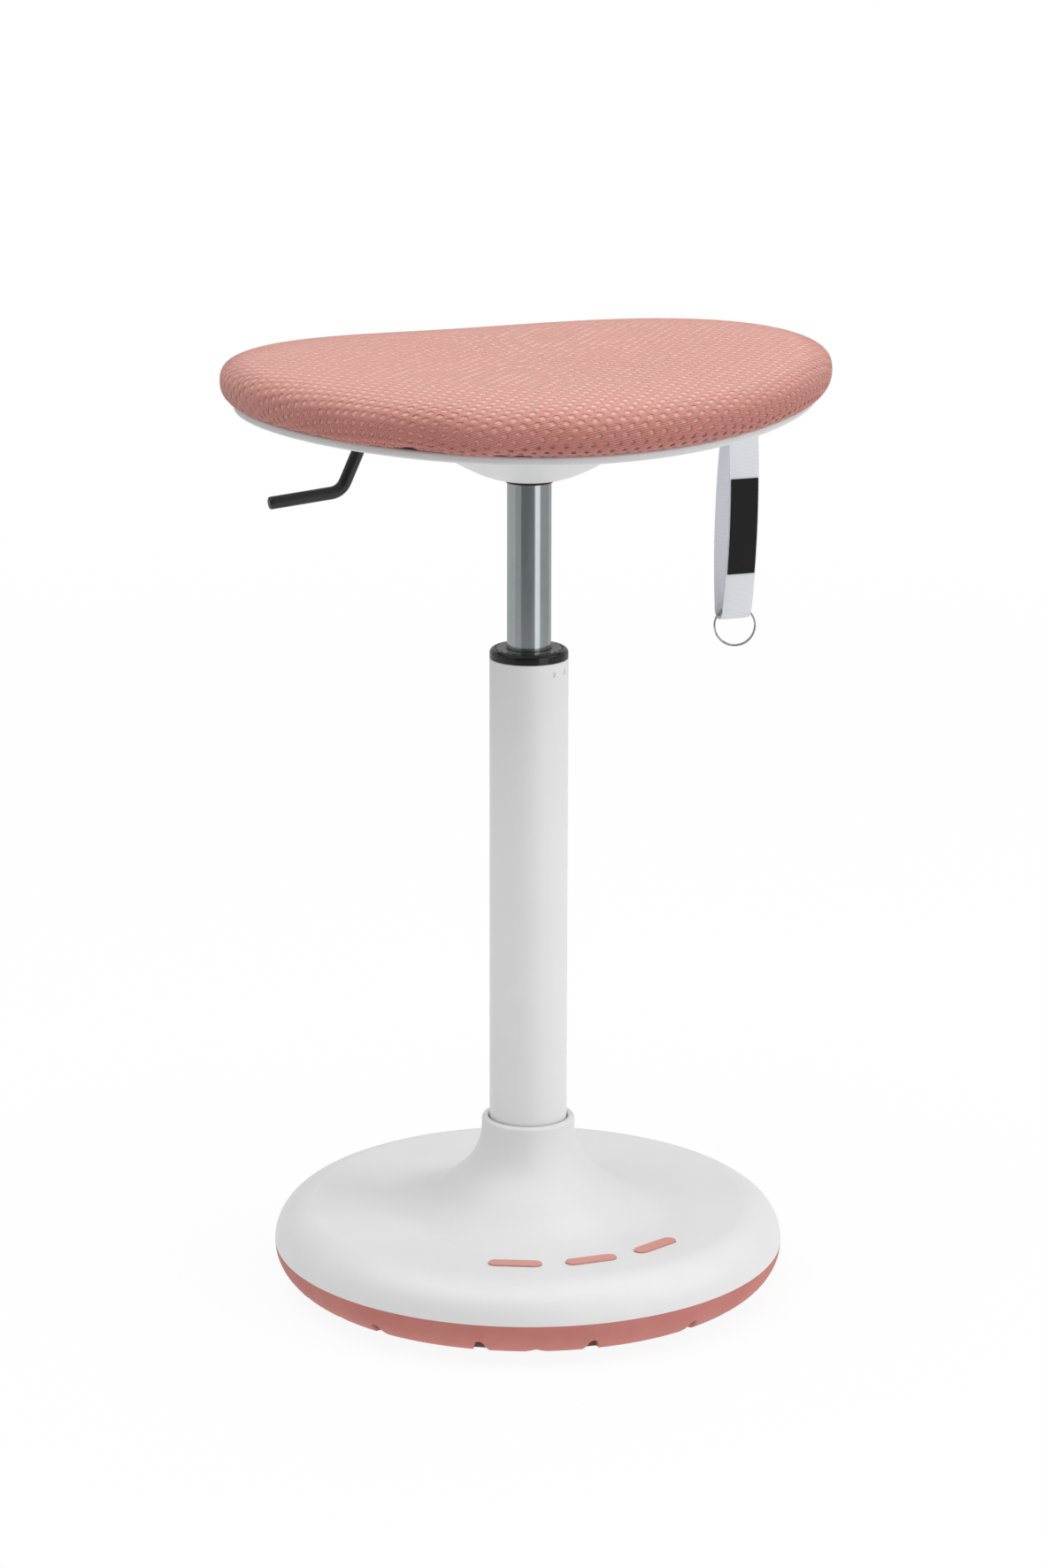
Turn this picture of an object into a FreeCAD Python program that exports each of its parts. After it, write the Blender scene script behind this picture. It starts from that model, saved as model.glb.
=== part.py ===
"""Wobble stool: a saddle seat on a gas lift, over a weighted base that rocks on a rubber sole.

Millimetres, +Z up. The origin is on the floor under the column. The seat's front faces -Y, the
release lever points to -X and the carrying strap hangs at +X.
"""

import FreeCAD, Part
import math
import os
import re
import Sketcher

VECTOR = FreeCAD.Vector
PARTS_FOLDER = "parts"

SIZES = {
    # sole and base
    "base_radius": 165.0,
    "base_edge_radius": 24.0,
    "sole_height": 29.0,
    "sole_flat_radius": 65.0,
    "rocker_rise": 8.0,
    "sole_floor": 8.0,
    "sole_lip": 3.5,
    "sole_lip_depth": 10.0,
    "sole_step_height": 15.0,
    "slot_width": 5.8,
    "slot_top": 13.3,
    "slot_length": 19.0,
    "slot_count": 14,
    "slot_flare": 1.7,
    "notch_width": 13.0,
    "notch_rise": 3.0,
    "notch_count": 7,
    "groove_turn": -18.1,
    "plate_inset": 23.0,
    "plate_thickness": 4.0,
    "ballast_inner_radius": 72.0,
    "ballast_inset": 17.0,
    "ballast_height": 17.0,
    "ballast_round": 4.0,
    # base cover
    "cover_wall": 2.6,
    "shoulder_height": 52.5,
    "shoulder_radius": 23.5,
    "dip_height": 51.0,
    "skirt_radius": 60.0,
    "neck_radius": 41.3,
    "neck_turn": 48.4,
    "collar_radius": 30.0,
    "collar_gap": 0.8,
    "collar_top": 111.5,
    "collar_straight": 5.5,
    "collar_round": 2.2,
    "skirt_depth": 9.0,
    "inlay_length": 34.0,
    "inlay_width": 10.0,
    "inlay_inset": 49.0,
    "inlay_count": 3,
    "inlay_spread": 48.0,
    "inlay_depth": 0.9,
    "inlay_proud": 0.3,
    "inlay_gap": 0.25,
    "boss_radius": 5.5,
    "boss_inset": 31.0,
    "boss_pilot_depth": 22.0,
    "cover_screw_count": 4,
    "cover_screw_radius": 2.0,
    "cover_screw_length": 18.0,
    "cover_screw_head_radius": 4.0,
    "cover_screw_head_height": 2.4,
    # column
    "tube_radius": 25.0,
    "tube_wall": 1.5,
    "column_length": 403.8,
    "socket_height": 66.0,
    "socket_wall": 5.5,
    "socket_top_wall": 3.0,
    "socket_fillet": 4.0,
    "dimple_radius": 2.0,
    "dimple_depth": 0.7,
    "dimple_drop": 6.8,
    "dimple_pair_angle": 24.6,
    "dimple_turn": 17.2,
    "bush_flange": 6.2,
    "bush_edge_round": 3.0,
    "bush_sleeve": 76.0,
    "bush_slot_circle_radius": 21.3,
    "bush_slot_length": 3.4,
    "bush_slot_width": 1.1,
    "bush_slot_depth": 1.5,
    "bush_slot_count": 24,
    "bush_web": 3.0,
    "fit_gap": 0.05,
    "seat_gap": 0.2,
    "edge_break": 1.0,
    "cut_room": 5.0,
    "end_plate_lift": 8.0,
    "end_plate_thickness": 4.0,
    # rod and thrust bearing
    "rod_radius": 5.0,
    "tenon_radius": 4.0,
    "tenon_end": 3.5,
    "clip_radius": 8.0,
    "clip_thickness": 1.0,
    "clip_groove_depth": 0.8,
    "clip_mouth_half_width": 2.6,
    "washer_radius": 12.0,
    "washer_thickness": 1.2,
    "ball_radius": 1.45,
    "ball_circle_radius": 8.2,
    "ball_count": 8,
    "cage_thickness": 1.2,
    "cage_rim": 2.2,
    "bumper_radius": 12.5,
    "bumper_waist": 2.0,
    "bumper_height": 17.0,
    "piston_height": 14.0,
    "piston_ring_height": 3.0,
    "piston_ring_depth": 1.8,
    # gas cylinder
    "cylinder_radius": 14.0,
    "cylinder_wall": 1.3,
    "cylinder_head": 27.0,
    "cylinder_taper": 0.65,
    "exposed_length": 106.0,
    "travel_down": 90.0,
    "travel_up": 110.0,
    "stop_gap": 0.5,
    "inner_tube_gap": 0.8,
    "inner_tube_wall": 1.0,
    "rod_guide_height": 22.0,
    "rod_guide_inset": 3.0,
    "valve_height": 23.0,
    "pin_radius": 4.0,
    "pin_length": 19.5,
    "pin_room": 3.0,
    "lever_gap": 0.3,
    "dust_ring_wall": 1.2,
    "dust_ring_drop": 2.5,
    # taper socket, pan and plate under the seat
    "cone_radius": 18.0,
    "cone_lift": 3.5,
    "cone_height": 24.5,
    "pan_half_length": 50.0,
    "pan_half_width": 26.0,
    "pan_wall": 2.0,
    "pan_corner": 8.0,
    "pan_floor": 25.0,
    "flange_lift": 43.0,
    "flange_half_size": 62.0,
    "flange_corner": 16.0,
    "sheet_thickness": 2.5,
    "plate_bolt_circle_radius": 70.7,
    "plate_bolt_count": 4,
    "bolt_radius": 3.0,
    "bolt_head_radius": 5.0,
    "bolt_head_height": 3.5,
    "hole_gap": 0.25,
    "tee_nut_radius": 9.0,
    "tee_nut_barrel_radius": 4.2,
    "tee_nut_flange": 1.5,
    "tee_nut_length": 10.0,
    # seat
    "seat_half_width": 193.0,
    "seat_half_depth": 164.0,
    "seat_side_drop": 14.0,
    "saddle_radius": 1400.0,
    "rim_lift": 45.0,
    "rim_inset": 10.0,
    "rim_thickness": 3.6,
    "rim_edge_round": 1.2,
    "lip_space": 3.2,
    "lip_width": 24.0,
    "board_thickness": 12.0,
    "board_inset": 8.0,
    "board_pad_half_size": 72.0,
    "cushion_height": 40.6,
    "crown_radius": 1200.0,
    "block_room": 15.0,
    "cushion_top_round": 19.0,
    "cushion_bottom_round": 9.0,
    "cover_thickness": 4.0,
    "foam_gap": 0.2,
    # seat shell
    "shell_wall": 3.0,
    "shell_hole_gap": 1.6,
    "bulge_bottom_radius": 18.0,
    "bulge_mid_radius": 47.0,
    "bulge_mid_lift": 11.7,
    "bulge_top_radius": 114.0,
    "bulge_top_lift": 48.65,
    "bulge_lower_curve": 66.0,
    "bulge_flare": 320.0,
    "shell_screw_circle_radius": 125.0,
    "shell_screw_count": 4,
    "shell_screw_radius": 2.0,
    "shell_screw_head_radius": 4.0,
    "shell_screw_head_height": 2.4,
    "shell_screw_length": 14.0,
    "shell_boss_radius": 6.0,
    "shell_boss_gap": 0.3,
    # lever
    "lever_radius": 4.0,
    "lever_lift": 36.0,
    "lever_inner_reach": 6.5,
    "lever_knee": 108.0,
    "lever_bend": 123.5,
    "lever_bend_lift": 2.0,
    "lever_tip": 170.0,
    "lever_tip_lift": -2.5,
    "lever_bend_radius": 11.0,
    "lever_end_round": 1.5,
    "pivot_offset": 45.0,
    "pivot_radius": 3.0,
    "pivot_overhang": 3.0,
    "lever_slot_half_width": 7.0,
    "lever_slot_start": 68.0,
    "lever_slot_end": 106.0,
    "lever_slot_corner": 4.0,
    "lever_window_drop": 6.0,
    # strap, its bracket and ring
    "strap_offset": 144.0,
    "bar_lift": 38.0,
    "bar_radius": 2.5,
    "bracket_half_length": 15.0,
    "bracket_half_width": 22.0,
    "bracket_thickness": 2.0,
    "ear_half_width": 6.5,
    "ear_drop": 4.5,
    "bracket_screw_offset": 16.0,
    "bracket_screw_length": 13.0,
    "strap_width": 20.0,
    "strap_thickness": 1.6,
    "strap_bar_gap": 0.3,
    "strap_drop": 128.4,
    "strap_fold_radius": 6.5,
    "strap_leg_radius": 338.0,
    "label_width": 18.5,
    "label_length": 60.0,
    "label_drop": 46.0,
    "label_thickness": 0.7,
    "ring_radius": 12.9,
    "ring_hang": 12.1,
    "ring_wire_radius": 0.6,
    "ring_pitch": 1.65,
    "ring_crossover": 44.0,
    "ring_start_angle": 205.0,
}

# Heights and radii that follow from other sizes, as expressions over the sheet.
PLATE_RADIUS = "(base_radius - plate_inset)"
BALLAST_RADIUS = f"({PLATE_RADIUS} - ballast_inset)"
BOSS_CIRCLE = "(base_radius - boss_inset)"
INLAY_CIRCLE = "(base_radius - inlay_inset)"
SIDE_RADIUS = "(seat_half_depth - seat_side_drop)"
PLATE_TOP = "(sole_floor + plate_thickness)"
TUBE_TOP = f"({PLATE_TOP} + column_length)"
BUSH_TOP = f"({TUBE_TOP} + bush_flange)"
SEAT_Z = f"({BUSH_TOP} + exposed_length)"
END_PLATE_BOTTOM = f"({PLATE_TOP} + end_plate_lift)"
END_PLATE_TOP = f"({END_PLATE_BOTTOM} + end_plate_thickness)"
BALL_Z = f"({END_PLATE_TOP} + washer_thickness + ball_radius + fit_gap)"
UPPER_WASHER_Z = f"({BALL_Z} + ball_radius + fit_gap)"
ROD_SHOULDER = f"({UPPER_WASHER_Z} + washer_thickness)"
CYLINDER_TOP = f"({SEAT_Z} + cylinder_head)"
CYLINDER_BOTTOM = f"({ROD_SHOULDER} + fit_gap + bumper_height + stop_gap + travel_down)"
GUIDE_TOP = f"({CYLINDER_BOTTOM} + rod_guide_inset + rod_guide_height)"
PISTON_Z = f"({GUIDE_TOP} + travel_up + stop_gap)"
INNER_TUBE_RADIUS = "(cylinder_radius - cylinder_wall - inner_tube_gap)"
PISTON_ROOM = f"({INNER_TUBE_RADIUS} - inner_tube_wall)"
VALVE_BOTTOM = f"({CYLINDER_TOP} - valve_height)"
LEVER_Z = f"({SEAT_Z} + lever_lift)"
PIN_TOP = f"({LEVER_Z} - lever_radius - lever_gap)"
PAN_FLOOR = f"({SEAT_Z} + pan_floor)"
FLANGE_Z = f"({SEAT_Z} + flange_lift)"
PLATE_Z = f"({FLANGE_Z} + sheet_thickness)"
BOARD_PAD_Z = f"({PLATE_Z} + sheet_thickness)"
RIM_TOP = f"({SEAT_Z} + rim_lift)"
RIM_BOTTOM = f"({RIM_TOP} - rim_thickness)"
BOARD_BOTTOM = f"({RIM_TOP} + lip_space)"
BOARD_TOP = f"({BOARD_BOTTOM} + board_thickness)"
CUSHION_TOP = f"({RIM_TOP} + cushion_height)"
BAR_Z = f"({SEAT_Z} + bar_lift)"
FOLD_Z = f"({BAR_Z} - strap_drop)"

document = FreeCAD.newDocument("wobble_stool")
sheet = document.addObject("Spreadsheet::Sheet", "Sizes")
nodes = []


def fill_sheet():
    """Write every driving dimension into the sheet, each under its own alias."""
    for row, (name, value) in enumerate(SIZES.items(), start=1):
        sheet.set(f"A{row}", str(value))
        sheet.setAlias(f"A{row}", name)
    document.recompute()


def bound(expression):
    """Prefix each size name in an expression with the sheet's name."""
    return re.sub(r"[a-z][a-z_]*_[a-z_]*[a-z]", lambda match: "Sizes." + match.group(0), expression)


def value(expression):
    """Give the present number of an expression over the sheet."""
    return float(sheet.evalExpression(expression))


def bind(item, target, expression):
    """Tie a property of an object to an expression over the sheet."""
    item.setExpression(target, bound(expression))


def new_body(name):
    """Start a body whose label is the node's name."""
    body = document.addObject("PartDesign::Body", name)
    body.Label = name
    return body


def finish(item, name=None):
    """Note an object as a piece of the stool, written out under its label."""
    if name:
        item.Label = name
    nodes.append(item)
    return item


def place_sketch(body, name, role, offset="0", turn=None):
    """Put a sketch on one of the body's origin planes, moved along its normal."""
    sketch = body.newObject("Sketcher::SketchObject", name)
    plane = next(item for item in body.Origin.OriginFeatures if item.Role == role)
    sketch.AttachmentSupport = [(plane, "")]
    sketch.MapMode = "FlatFace"
    if turn is None:
        bind(sketch, "AttachmentOffset.Base.z", offset)
        return sketch
    flat = role == "XY_Plane"
    axis = VECTOR(0, 0, 1) if flat else VECTOR(0, 1, 0)
    sketch.AttachmentOffset = FreeCAD.Placement(VECTOR(), FreeCAD.Rotation(axis, value(turn)))
    bind(sketch, "AttachmentOffset.Rotation.Angle", turn)
    bind(sketch, "AttachmentOffset.Base.x", "0" if flat else f"({offset}) * sin({turn})")
    bind(sketch, "AttachmentOffset.Base.z", offset if flat else f"({offset}) * cos({turn})")
    return sketch


def arc_between(start, end, radius):
    """Make the short arc from start to end; a positive radius turns left along the way."""
    chord = end - start
    half = chord.Length / 2
    left = VECTOR(-chord.y, chord.x, 0).normalize()
    rise = math.sqrt(max(radius * radius - half * half, 0.0))
    centre = start + chord * 0.5 + left * (rise if radius > 0 else -rise)
    first, last = (start, end) if radius > 0 else (end, start)
    first_angle = math.atan2(first.y - centre.y, first.x - centre.x)
    last_angle = math.atan2(last.y - centre.y, last.x - centre.x)
    circle = Part.Circle(centre, VECTOR(0, 0, 1), abs(radius))
    return Part.ArcOfCircle(circle, first_angle, last_angle)


def pin_point(constraints, bindings, geometry, position, across, up):
    """Hold a point of a sketch at two coordinates given as expressions."""
    for kind, axis, expression in (("DistanceX", -2, across), ("DistanceY", -1, up)):
        if expression == "0":
            constraints.append(Sketcher.Constraint("PointOnObject", geometry, position, axis))
        else:
            bindings.append((len(constraints), expression))
            number = value(expression)
            constraints.append(Sketcher.Constraint(kind, -1, 1, geometry, position, number))


def apply_constraints(sketch, constraints, bindings):
    """Add the constraints to the sketch and bind the numbered ones."""
    first = sketch.ConstraintCount
    sketch.addConstraint(constraints)
    for index, expression in bindings:
        bind(sketch, f"Constraints[{first + index}]", expression)


def trace(sketch, path):
    """Draw a closed outline.

    Each entry is (across, up) when a line leads to it, or (across, up, radius) when an arc does.
    A positive radius turns left. The first entry says how the outline closes.
    """
    points = [VECTOR(value(entry[0]), value(entry[1]), 0) for entry in path]
    base = sketch.GeometryCount
    ends = []
    constraints = []
    bindings = []
    for index, entry in enumerate(path):
        start, end = points[index - 1], points[index]
        if len(entry) == 2:
            sketch.addGeometry(Part.LineSegment(start, end), False)
            ends.append((1, 2))
        else:
            radius = value(entry[2])
            sketch.addGeometry(arc_between(start, end, radius), False)
            ends.append((1, 2) if radius > 0 else (2, 1))
            bindings.append((len(constraints), entry[2] if radius > 0 else f"0 - ({entry[2]})"))
            constraints.append(Sketcher.Constraint("Radius", base + index, abs(radius)))
    for index, entry in enumerate(path):
        following = (index + 1) % len(path)
        constraints.append(Sketcher.Constraint(
            "Coincident", base + index, ends[index][1], base + following, ends[following][0]))
        pin_point(constraints, bindings, base + index, ends[index][1], entry[0], entry[1])
    apply_constraints(sketch, constraints, bindings)


def draw_circle(sketch, across, up, radius):
    """Draw a circle whose centre and radius are expressions."""
    centre = VECTOR(value(across), value(up), 0)
    index = sketch.GeometryCount
    sketch.addGeometry(Part.Circle(centre, VECTOR(0, 0, 1), value(radius)), False)
    constraints = [Sketcher.Constraint("Radius", index, value(radius))]
    bindings = [(0, radius)]
    pin_point(constraints, bindings, index, 3, across, up)
    apply_constraints(sketch, constraints, bindings)


def box_path(left, right, low, high):
    """Give the outline of a rectangle."""
    return [(left, low), (right, low), (right, high), (left, high)]


def rounded_box_path(half_length, half_width, corner):
    """Give the outline of a centred rectangle with round corners."""
    length = f"({half_length})"
    width = f"({half_width})"
    inner_length = f"({length} - ({corner}))"
    inner_width = f"({width} - ({corner}))"
    return [
        (f"0 - {inner_length}", f"0 - {width}", corner),
        (inner_length, f"0 - {width}"),
        (length, f"0 - {inner_width}", corner),
        (length, inner_width),
        (inner_length, width, corner),
        (f"0 - {inner_length}", width),
        (f"0 - {length}", inner_width, corner),
        (f"0 - {length}", f"0 - {inner_width}"),
    ]


def oval_path(inset):
    """Give the seat's outline, made of four tangent arcs, drawn in by an inset."""
    side_centre = f"(seat_half_width - {SIDE_RADIUS})"
    front_radius = f"(({side_centre}^2 + seat_half_depth^2 - {SIDE_RADIUS}^2) / (2 * seat_side_drop))"
    front_centre = f"({front_radius} - seat_half_depth)"
    share = f"(({front_radius} - ({inset})) / ({front_radius} - {SIDE_RADIUS}))"
    across = f"({share} * {side_centre})"
    up = f"({front_centre} * ({share} - 1))"
    side = f"({SIDE_RADIUS} - ({inset}))"
    front = f"({front_radius} - ({inset}))"
    return [
        (f"0 - {across}", f"0 - {up}", side),
        (across, f"0 - {up}", front),
        (across, up, side),
        (f"0 - {across}", up, front),
    ]


def add_feature(body, kind, name, sketch):
    """Add a sketched feature to a body."""
    feature = body.newObject(f"PartDesign::{kind}", name)
    feature.Profile = sketch
    return feature


def revolve(body, name, path, kind="Revolution", axis="V_Axis"):
    """Turn a closed outline in the XZ plane about the vertical axis, adding or cutting."""
    sketch = place_sketch(body, f"{name}_profile", "XZ_Plane")
    trace(sketch, path)
    feature = add_feature(body, kind, name, sketch)
    feature.ReferenceAxis = (sketch, [axis])
    feature.Angle = 360
    return feature


def revolved_piece(name, path):
    """Make a whole piece by turning one outline about the column's axis."""
    body = new_body(name)
    revolve(body, f"{name}_turned", path)
    return finish(body)


def ring_path(inner, outer, low, high):
    """Give the half section of a plain ring."""
    return box_path(inner, outer, low, high)


def extrude(body, name, role, draw, offset, length, cut=False, symmetric=False, turn=None):
    """Pad or pocket a sketch; a cut goes the way the pad would."""
    sketch = place_sketch(body, f"{name}_sketch", role, offset, turn)
    draw(sketch)
    feature = add_feature(body, "Pocket" if cut else "Pad", name, sketch)
    bind(feature, "Length", length)
    if symmetric:
        feature.SideType = "Symmetric"
    feature.Reversed = cut and not symmetric
    return feature


def polar(body, name, originals, count, angle="360"):
    """Repeat features round the vertical axis."""
    pattern = body.newObject("PartDesign::PolarPattern", name)
    pattern.Originals = originals
    pattern.Axis = (next(item for item in body.Origin.OriginFeatures if item.Role == "Z_Axis"), [""])
    bind(pattern, "Angle", angle)
    bind(pattern, "Occurrences", str(count))
    body.Tip = pattern
    return pattern


def turn_body(body, angle):
    """Turn a whole body about the vertical axis."""
    body.Placement = FreeCAD.Placement(VECTOR(), FreeCAD.Rotation(VECTOR(0, 0, 1), value(angle)))
    bind(body, "Placement.Rotation.Angle", angle)


def edge_names(shape, wanted):
    """Name the edges of a shape that a test picks."""
    return [f"Edge{number}" for number, edge in enumerate(shape.Edges, start=1) if wanted(edge)]


def round_edges(body, name, radius, wanted):
    """Fillet the edges of the body's present shape that a test picks."""
    document.recompute()
    base = body.Tip
    fillet = body.newObject("PartDesign::Fillet", name)
    fillet.Base = (base, edge_names(base.Shape, wanted))
    fillet.Radius = value(radius)
    bind(fillet, "Radius", radius)
    return fillet


def edges_of_face(shape, rank):
    """Give a test for the edges of the face that ranks highest."""
    face = max(shape.Faces, key=rank)
    return lambda edge: any(edge.isSame(other) for other in face.Edges)


def saddle_height(middle, across):
    """Give the height of a saddle surface, coaxial with the rim's, at a distance across."""
    radius = f"(saddle_radius - ({middle}) + {RIM_TOP})"
    return f"(({middle}) + {radius} - sqrt({radius}^2 - ({across})^2))"


def saddle_cut(body, name, middle, above):
    """Cut away what lies above or below a saddle surface."""
    reach = "(seat_half_width + block_room)"
    radius = f"(saddle_radius - ({middle}) + {RIM_TOP})"
    edge = saddle_height(middle, reach)
    far = f"({RIM_TOP} {'+' if above else '-'} 2 * cushion_height)"
    if above:
        path = [(f"0 - {reach}", edge), (reach, edge, radius), (reach, far), (f"0 - {reach}", far)]
    else:
        path = [(f"0 - {reach}", far), (reach, far), (reach, edge), (f"0 - {reach}", edge, f"0 - {radius}")]
    return extrude(body, name, "XZ_Plane", lambda sketch: trace(sketch, path), "0",
                   "4 * seat_half_width", cut=True, symmetric=True)


def crown_cut(body, name, top):
    """Cut away what lies above the cushion's crown, which is curved from front to back."""
    reach = "(seat_half_depth + block_room)"
    radius = f"(crown_radius - ({CUSHION_TOP}) + ({top}))"
    edge = f"(({top}) - {radius} + sqrt({radius}^2 - {reach}^2))"
    far = f"({CUSHION_TOP} + 3 * block_room)"
    path = [(f"0 - {reach}", edge), (reach, edge, f"0 - {radius}"), (reach, far), (f"0 - {reach}", far)]
    extrude(body, name, "YZ_Plane", lambda sketch: trace(sketch, path), "0",
            "4 * seat_half_width", cut=True, symmetric=True)


def oval_block(body, name, inset):
    """Pad the seat's outline, drawn in by an inset, over the whole height of the seat."""
    return extrude(body, name, "XY_Plane", lambda sketch: trace(sketch, oval_path(inset)),
                   f"({RIM_TOP} - block_room)", "cushion_height + 2 * block_room")


def cushion_body(name, inset, bottom, top, rounded_bottom):
    """Make a cushion shape: the oval between a saddle surface and the crown, with round edges."""
    body = new_body(name)
    oval_block(body, f"{name}_block", inset)
    crown_cut(body, f"{name}_crown", top)
    top_edges = edges_of_face_now(body, lambda face: face.CenterOfMass.z)
    round_edges(body, f"{name}_top_round", f"cushion_top_round - ({inset})", top_edges)
    saddle_cut(body, f"{name}_under", bottom, above=False)
    if rounded_bottom:
        bottom_edges = edges_of_face_now(body, lambda face: -face.CenterOfMass.z)
        round_edges(body, f"{name}_bottom_round", f"cushion_bottom_round - ({inset})", bottom_edges)
    return body


def edges_of_face_now(body, rank):
    """Recompute, then give a test for the edges of the body's face that ranks highest."""
    document.recompute()
    return edges_of_face(body.Tip.Shape, rank)


def add_axis(sketch, across):
    """Add an upright construction line that a revolution can turn about."""
    line = sketch.GeometryCount
    foot = VECTOR(value(across), 0, 0)
    sketch.addGeometry(Part.LineSegment(foot, foot + VECTOR(0, 10, 0)), True)
    constraints = [Sketcher.Constraint("Vertical", line), Sketcher.Constraint("DistanceY", line, 1, line, 2, 10)]
    bindings = []
    pin_point(constraints, bindings, line, 1, across, "0")
    apply_constraints(sketch, constraints, bindings)


def draw_bent_line(sketch, corners, bend_radius):
    """Draw an open route of straight runs through the corners, joined by tangent arcs."""
    points = [VECTOR(value(across), value(up), 0) for across, up in corners]
    radius = value(bend_radius)
    constraints = []
    bindings = []
    start = points[0]
    last = len(points) - 1
    previous_arc = None
    for index in range(1, last + 1):
        corner = points[index]
        here = (corner - points[index - 1]).normalize()
        end = corner
        if index < last:
            following = (points[index + 1] - corner).normalize()
            turn = here.getAngle(following)
            end = corner - here * (radius * math.tan(turn / 2))
            leave = corner + following * (radius * math.tan(turn / 2))
        line = sketch.GeometryCount
        sketch.addGeometry(Part.LineSegment(start, end), False)
        if previous_arc is None:
            pin_point(constraints, bindings, line, 1, *corners[0])
        else:
            constraints.append(Sketcher.Constraint("Tangent", line, 1, previous_arc[0], previous_arc[1]))
        if index == last:
            pin_point(constraints, bindings, line, 2, *corners[last])
            break
        left_turn = here.cross(following).z > 0
        signed = radius if left_turn else -radius
        sketch.addGeometry(arc_between(end, leave, signed), False)
        arc = line + 1
        constraints.append(Sketcher.Constraint("Tangent", line, 2, arc, 1 if left_turn else 2))
        bindings.append((len(constraints), bend_radius))
        constraints.append(Sketcher.Constraint("Radius", arc, radius))
        mark = sketch.GeometryCount
        sketch.addGeometry(Part.Point(corner), True)
        pin_point(constraints, bindings, mark, 1, *corners[index])
        constraints.append(Sketcher.Constraint("PointOnObject", mark, 1, line))
        previous_arc = (arc, 2 if left_turn else 1)
        corner_marks = mark
        start = leave
        constraints.append(Sketcher.Constraint("PointOnObject", corner_marks, 1, mark + 1))
    apply_constraints(sketch, constraints, bindings)


def screw_path(axis, radius, head_radius, head_bottom, head_height, length):
    """Give the half section of a screw that points up, head below, about its own axis."""
    outer = f"({axis} + {radius})"
    head = f"({axis} + {head_radius})"
    shoulder = f"({head_bottom} + {head_height})"
    return [
        (axis, head_bottom),
        (f"({head} - edge_break)", head_bottom),
        (head, f"({head_bottom} + edge_break)", "edge_break"),
        (head, shoulder),
        (outer, shoulder),
        (outer, f"({shoulder} + {length} - {radius})"),
        (axis, f"({shoulder} + {length})"),
    ]


def screw_ring(name, circle_radius, radius, head_radius, head_bottom, head_height, length, count, turn):
    """Make a ring of like screws in one body."""
    body = new_body(name)
    sketch = place_sketch(body, f"{name}_profile", "XZ_Plane")
    trace(sketch, screw_path(circle_radius, radius, head_radius, head_bottom, head_height, length))
    add_axis(sketch, circle_radius)
    feature = add_feature(body, "Revolution", f"{name}_turned", sketch)
    feature.ReferenceAxis = (sketch, ["Axis0"])
    feature.Angle = 360
    polar(body, f"{name}_ring", [feature], count)
    turn_body(body, turn)
    return finish(body)


# The base


def build_rubber_sole():
    """Rubber sole: rocker underside with a flat centre, and slots and notches in its edge."""
    body = new_body("rubber_sole")
    edge_r = f"(base_radius - base_edge_radius + sqrt(base_edge_radius^2 - (sole_height - rocker_rise)^2))"
    run = f"({edge_r} - sole_flat_radius)"
    rocker = f"(({run}^2 + rocker_rise^2) / (2 * rocker_rise))"
    lip_r = "(base_radius - sole_lip)"
    well_r = f"({PLATE_RADIUS} + seat_gap)"
    revolve(body, "sole_turned", [
        ("0", "0"),
        ("sole_flat_radius", "0"),
        (edge_r, "rocker_rise", rocker),
        ("base_radius", "sole_height", "base_edge_radius"),
        (lip_r, "sole_height"),
        (lip_r, "sole_height - sole_lip_depth"),
        (well_r, "sole_step_height"),
        (well_r, "sole_floor"),
        ("0", "sole_floor"),
    ])
    half = "slot_width / 2"
    shoulder = f"(slot_top - {half})"
    slot = [
        (f"0 - {half} - 2 * slot_flare", f"2 * rocker_rise - {shoulder}"),
        (f"{half} + 2 * slot_flare", f"2 * rocker_rise - {shoulder}"),
        (half, shoulder),
        ("0", "slot_top", half),
        (f"0 - {half}", shoulder, half),
    ]
    slots = extrude(body, "sole_slot", "XZ_Plane", lambda sketch: trace(sketch, slot),
                    "base_radius - slot_length", "slot_length + cut_room", cut=True)
    polar(body, "sole_slots", [slots], "slot_count")
    notch = [
        ("0 - notch_width", "rocker_rise - notch_rise"),
        ("notch_width", "rocker_rise - notch_rise"),
        ("0", "rocker_rise + notch_rise"),
    ]
    notches = extrude(body, "sole_notch", "XZ_Plane", lambda sketch: trace(sketch, notch),
                      "base_radius - slot_length", "slot_length + cut_room", cut=True, turn="180 / slot_count")
    polar(body, "sole_notches", [notches], "notch_count")
    turn_body(body, "groove_turn - 180 / slot_count")
    return finish(body)


def build_base_plate():
    """Steel plate of the base, with recessed holes for the cover's screws."""
    body = new_body("base_plate")
    revolve(body, "plate_turned", ring_path("0", PLATE_RADIUS, "sole_floor", PLATE_TOP))
    recess = extrude(body, "plate_recess", "XY_Plane", lambda sketch: draw_circle(
        sketch, BOSS_CIRCLE, "0", "cover_screw_head_radius + hole_gap"),
        "sole_floor - cut_room", "cut_room + cover_screw_head_height + seat_gap", cut=True)
    hole = extrude(body, "plate_hole", "XY_Plane", lambda sketch: draw_circle(
        sketch, BOSS_CIRCLE, "0", "cover_screw_radius + hole_gap"),
        "sole_floor - cut_room", "plate_thickness + 2 * cut_room", cut=True)
    polar(body, "plate_holes", [recess, hole], "cover_screw_count")
    return finish(body)


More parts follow.
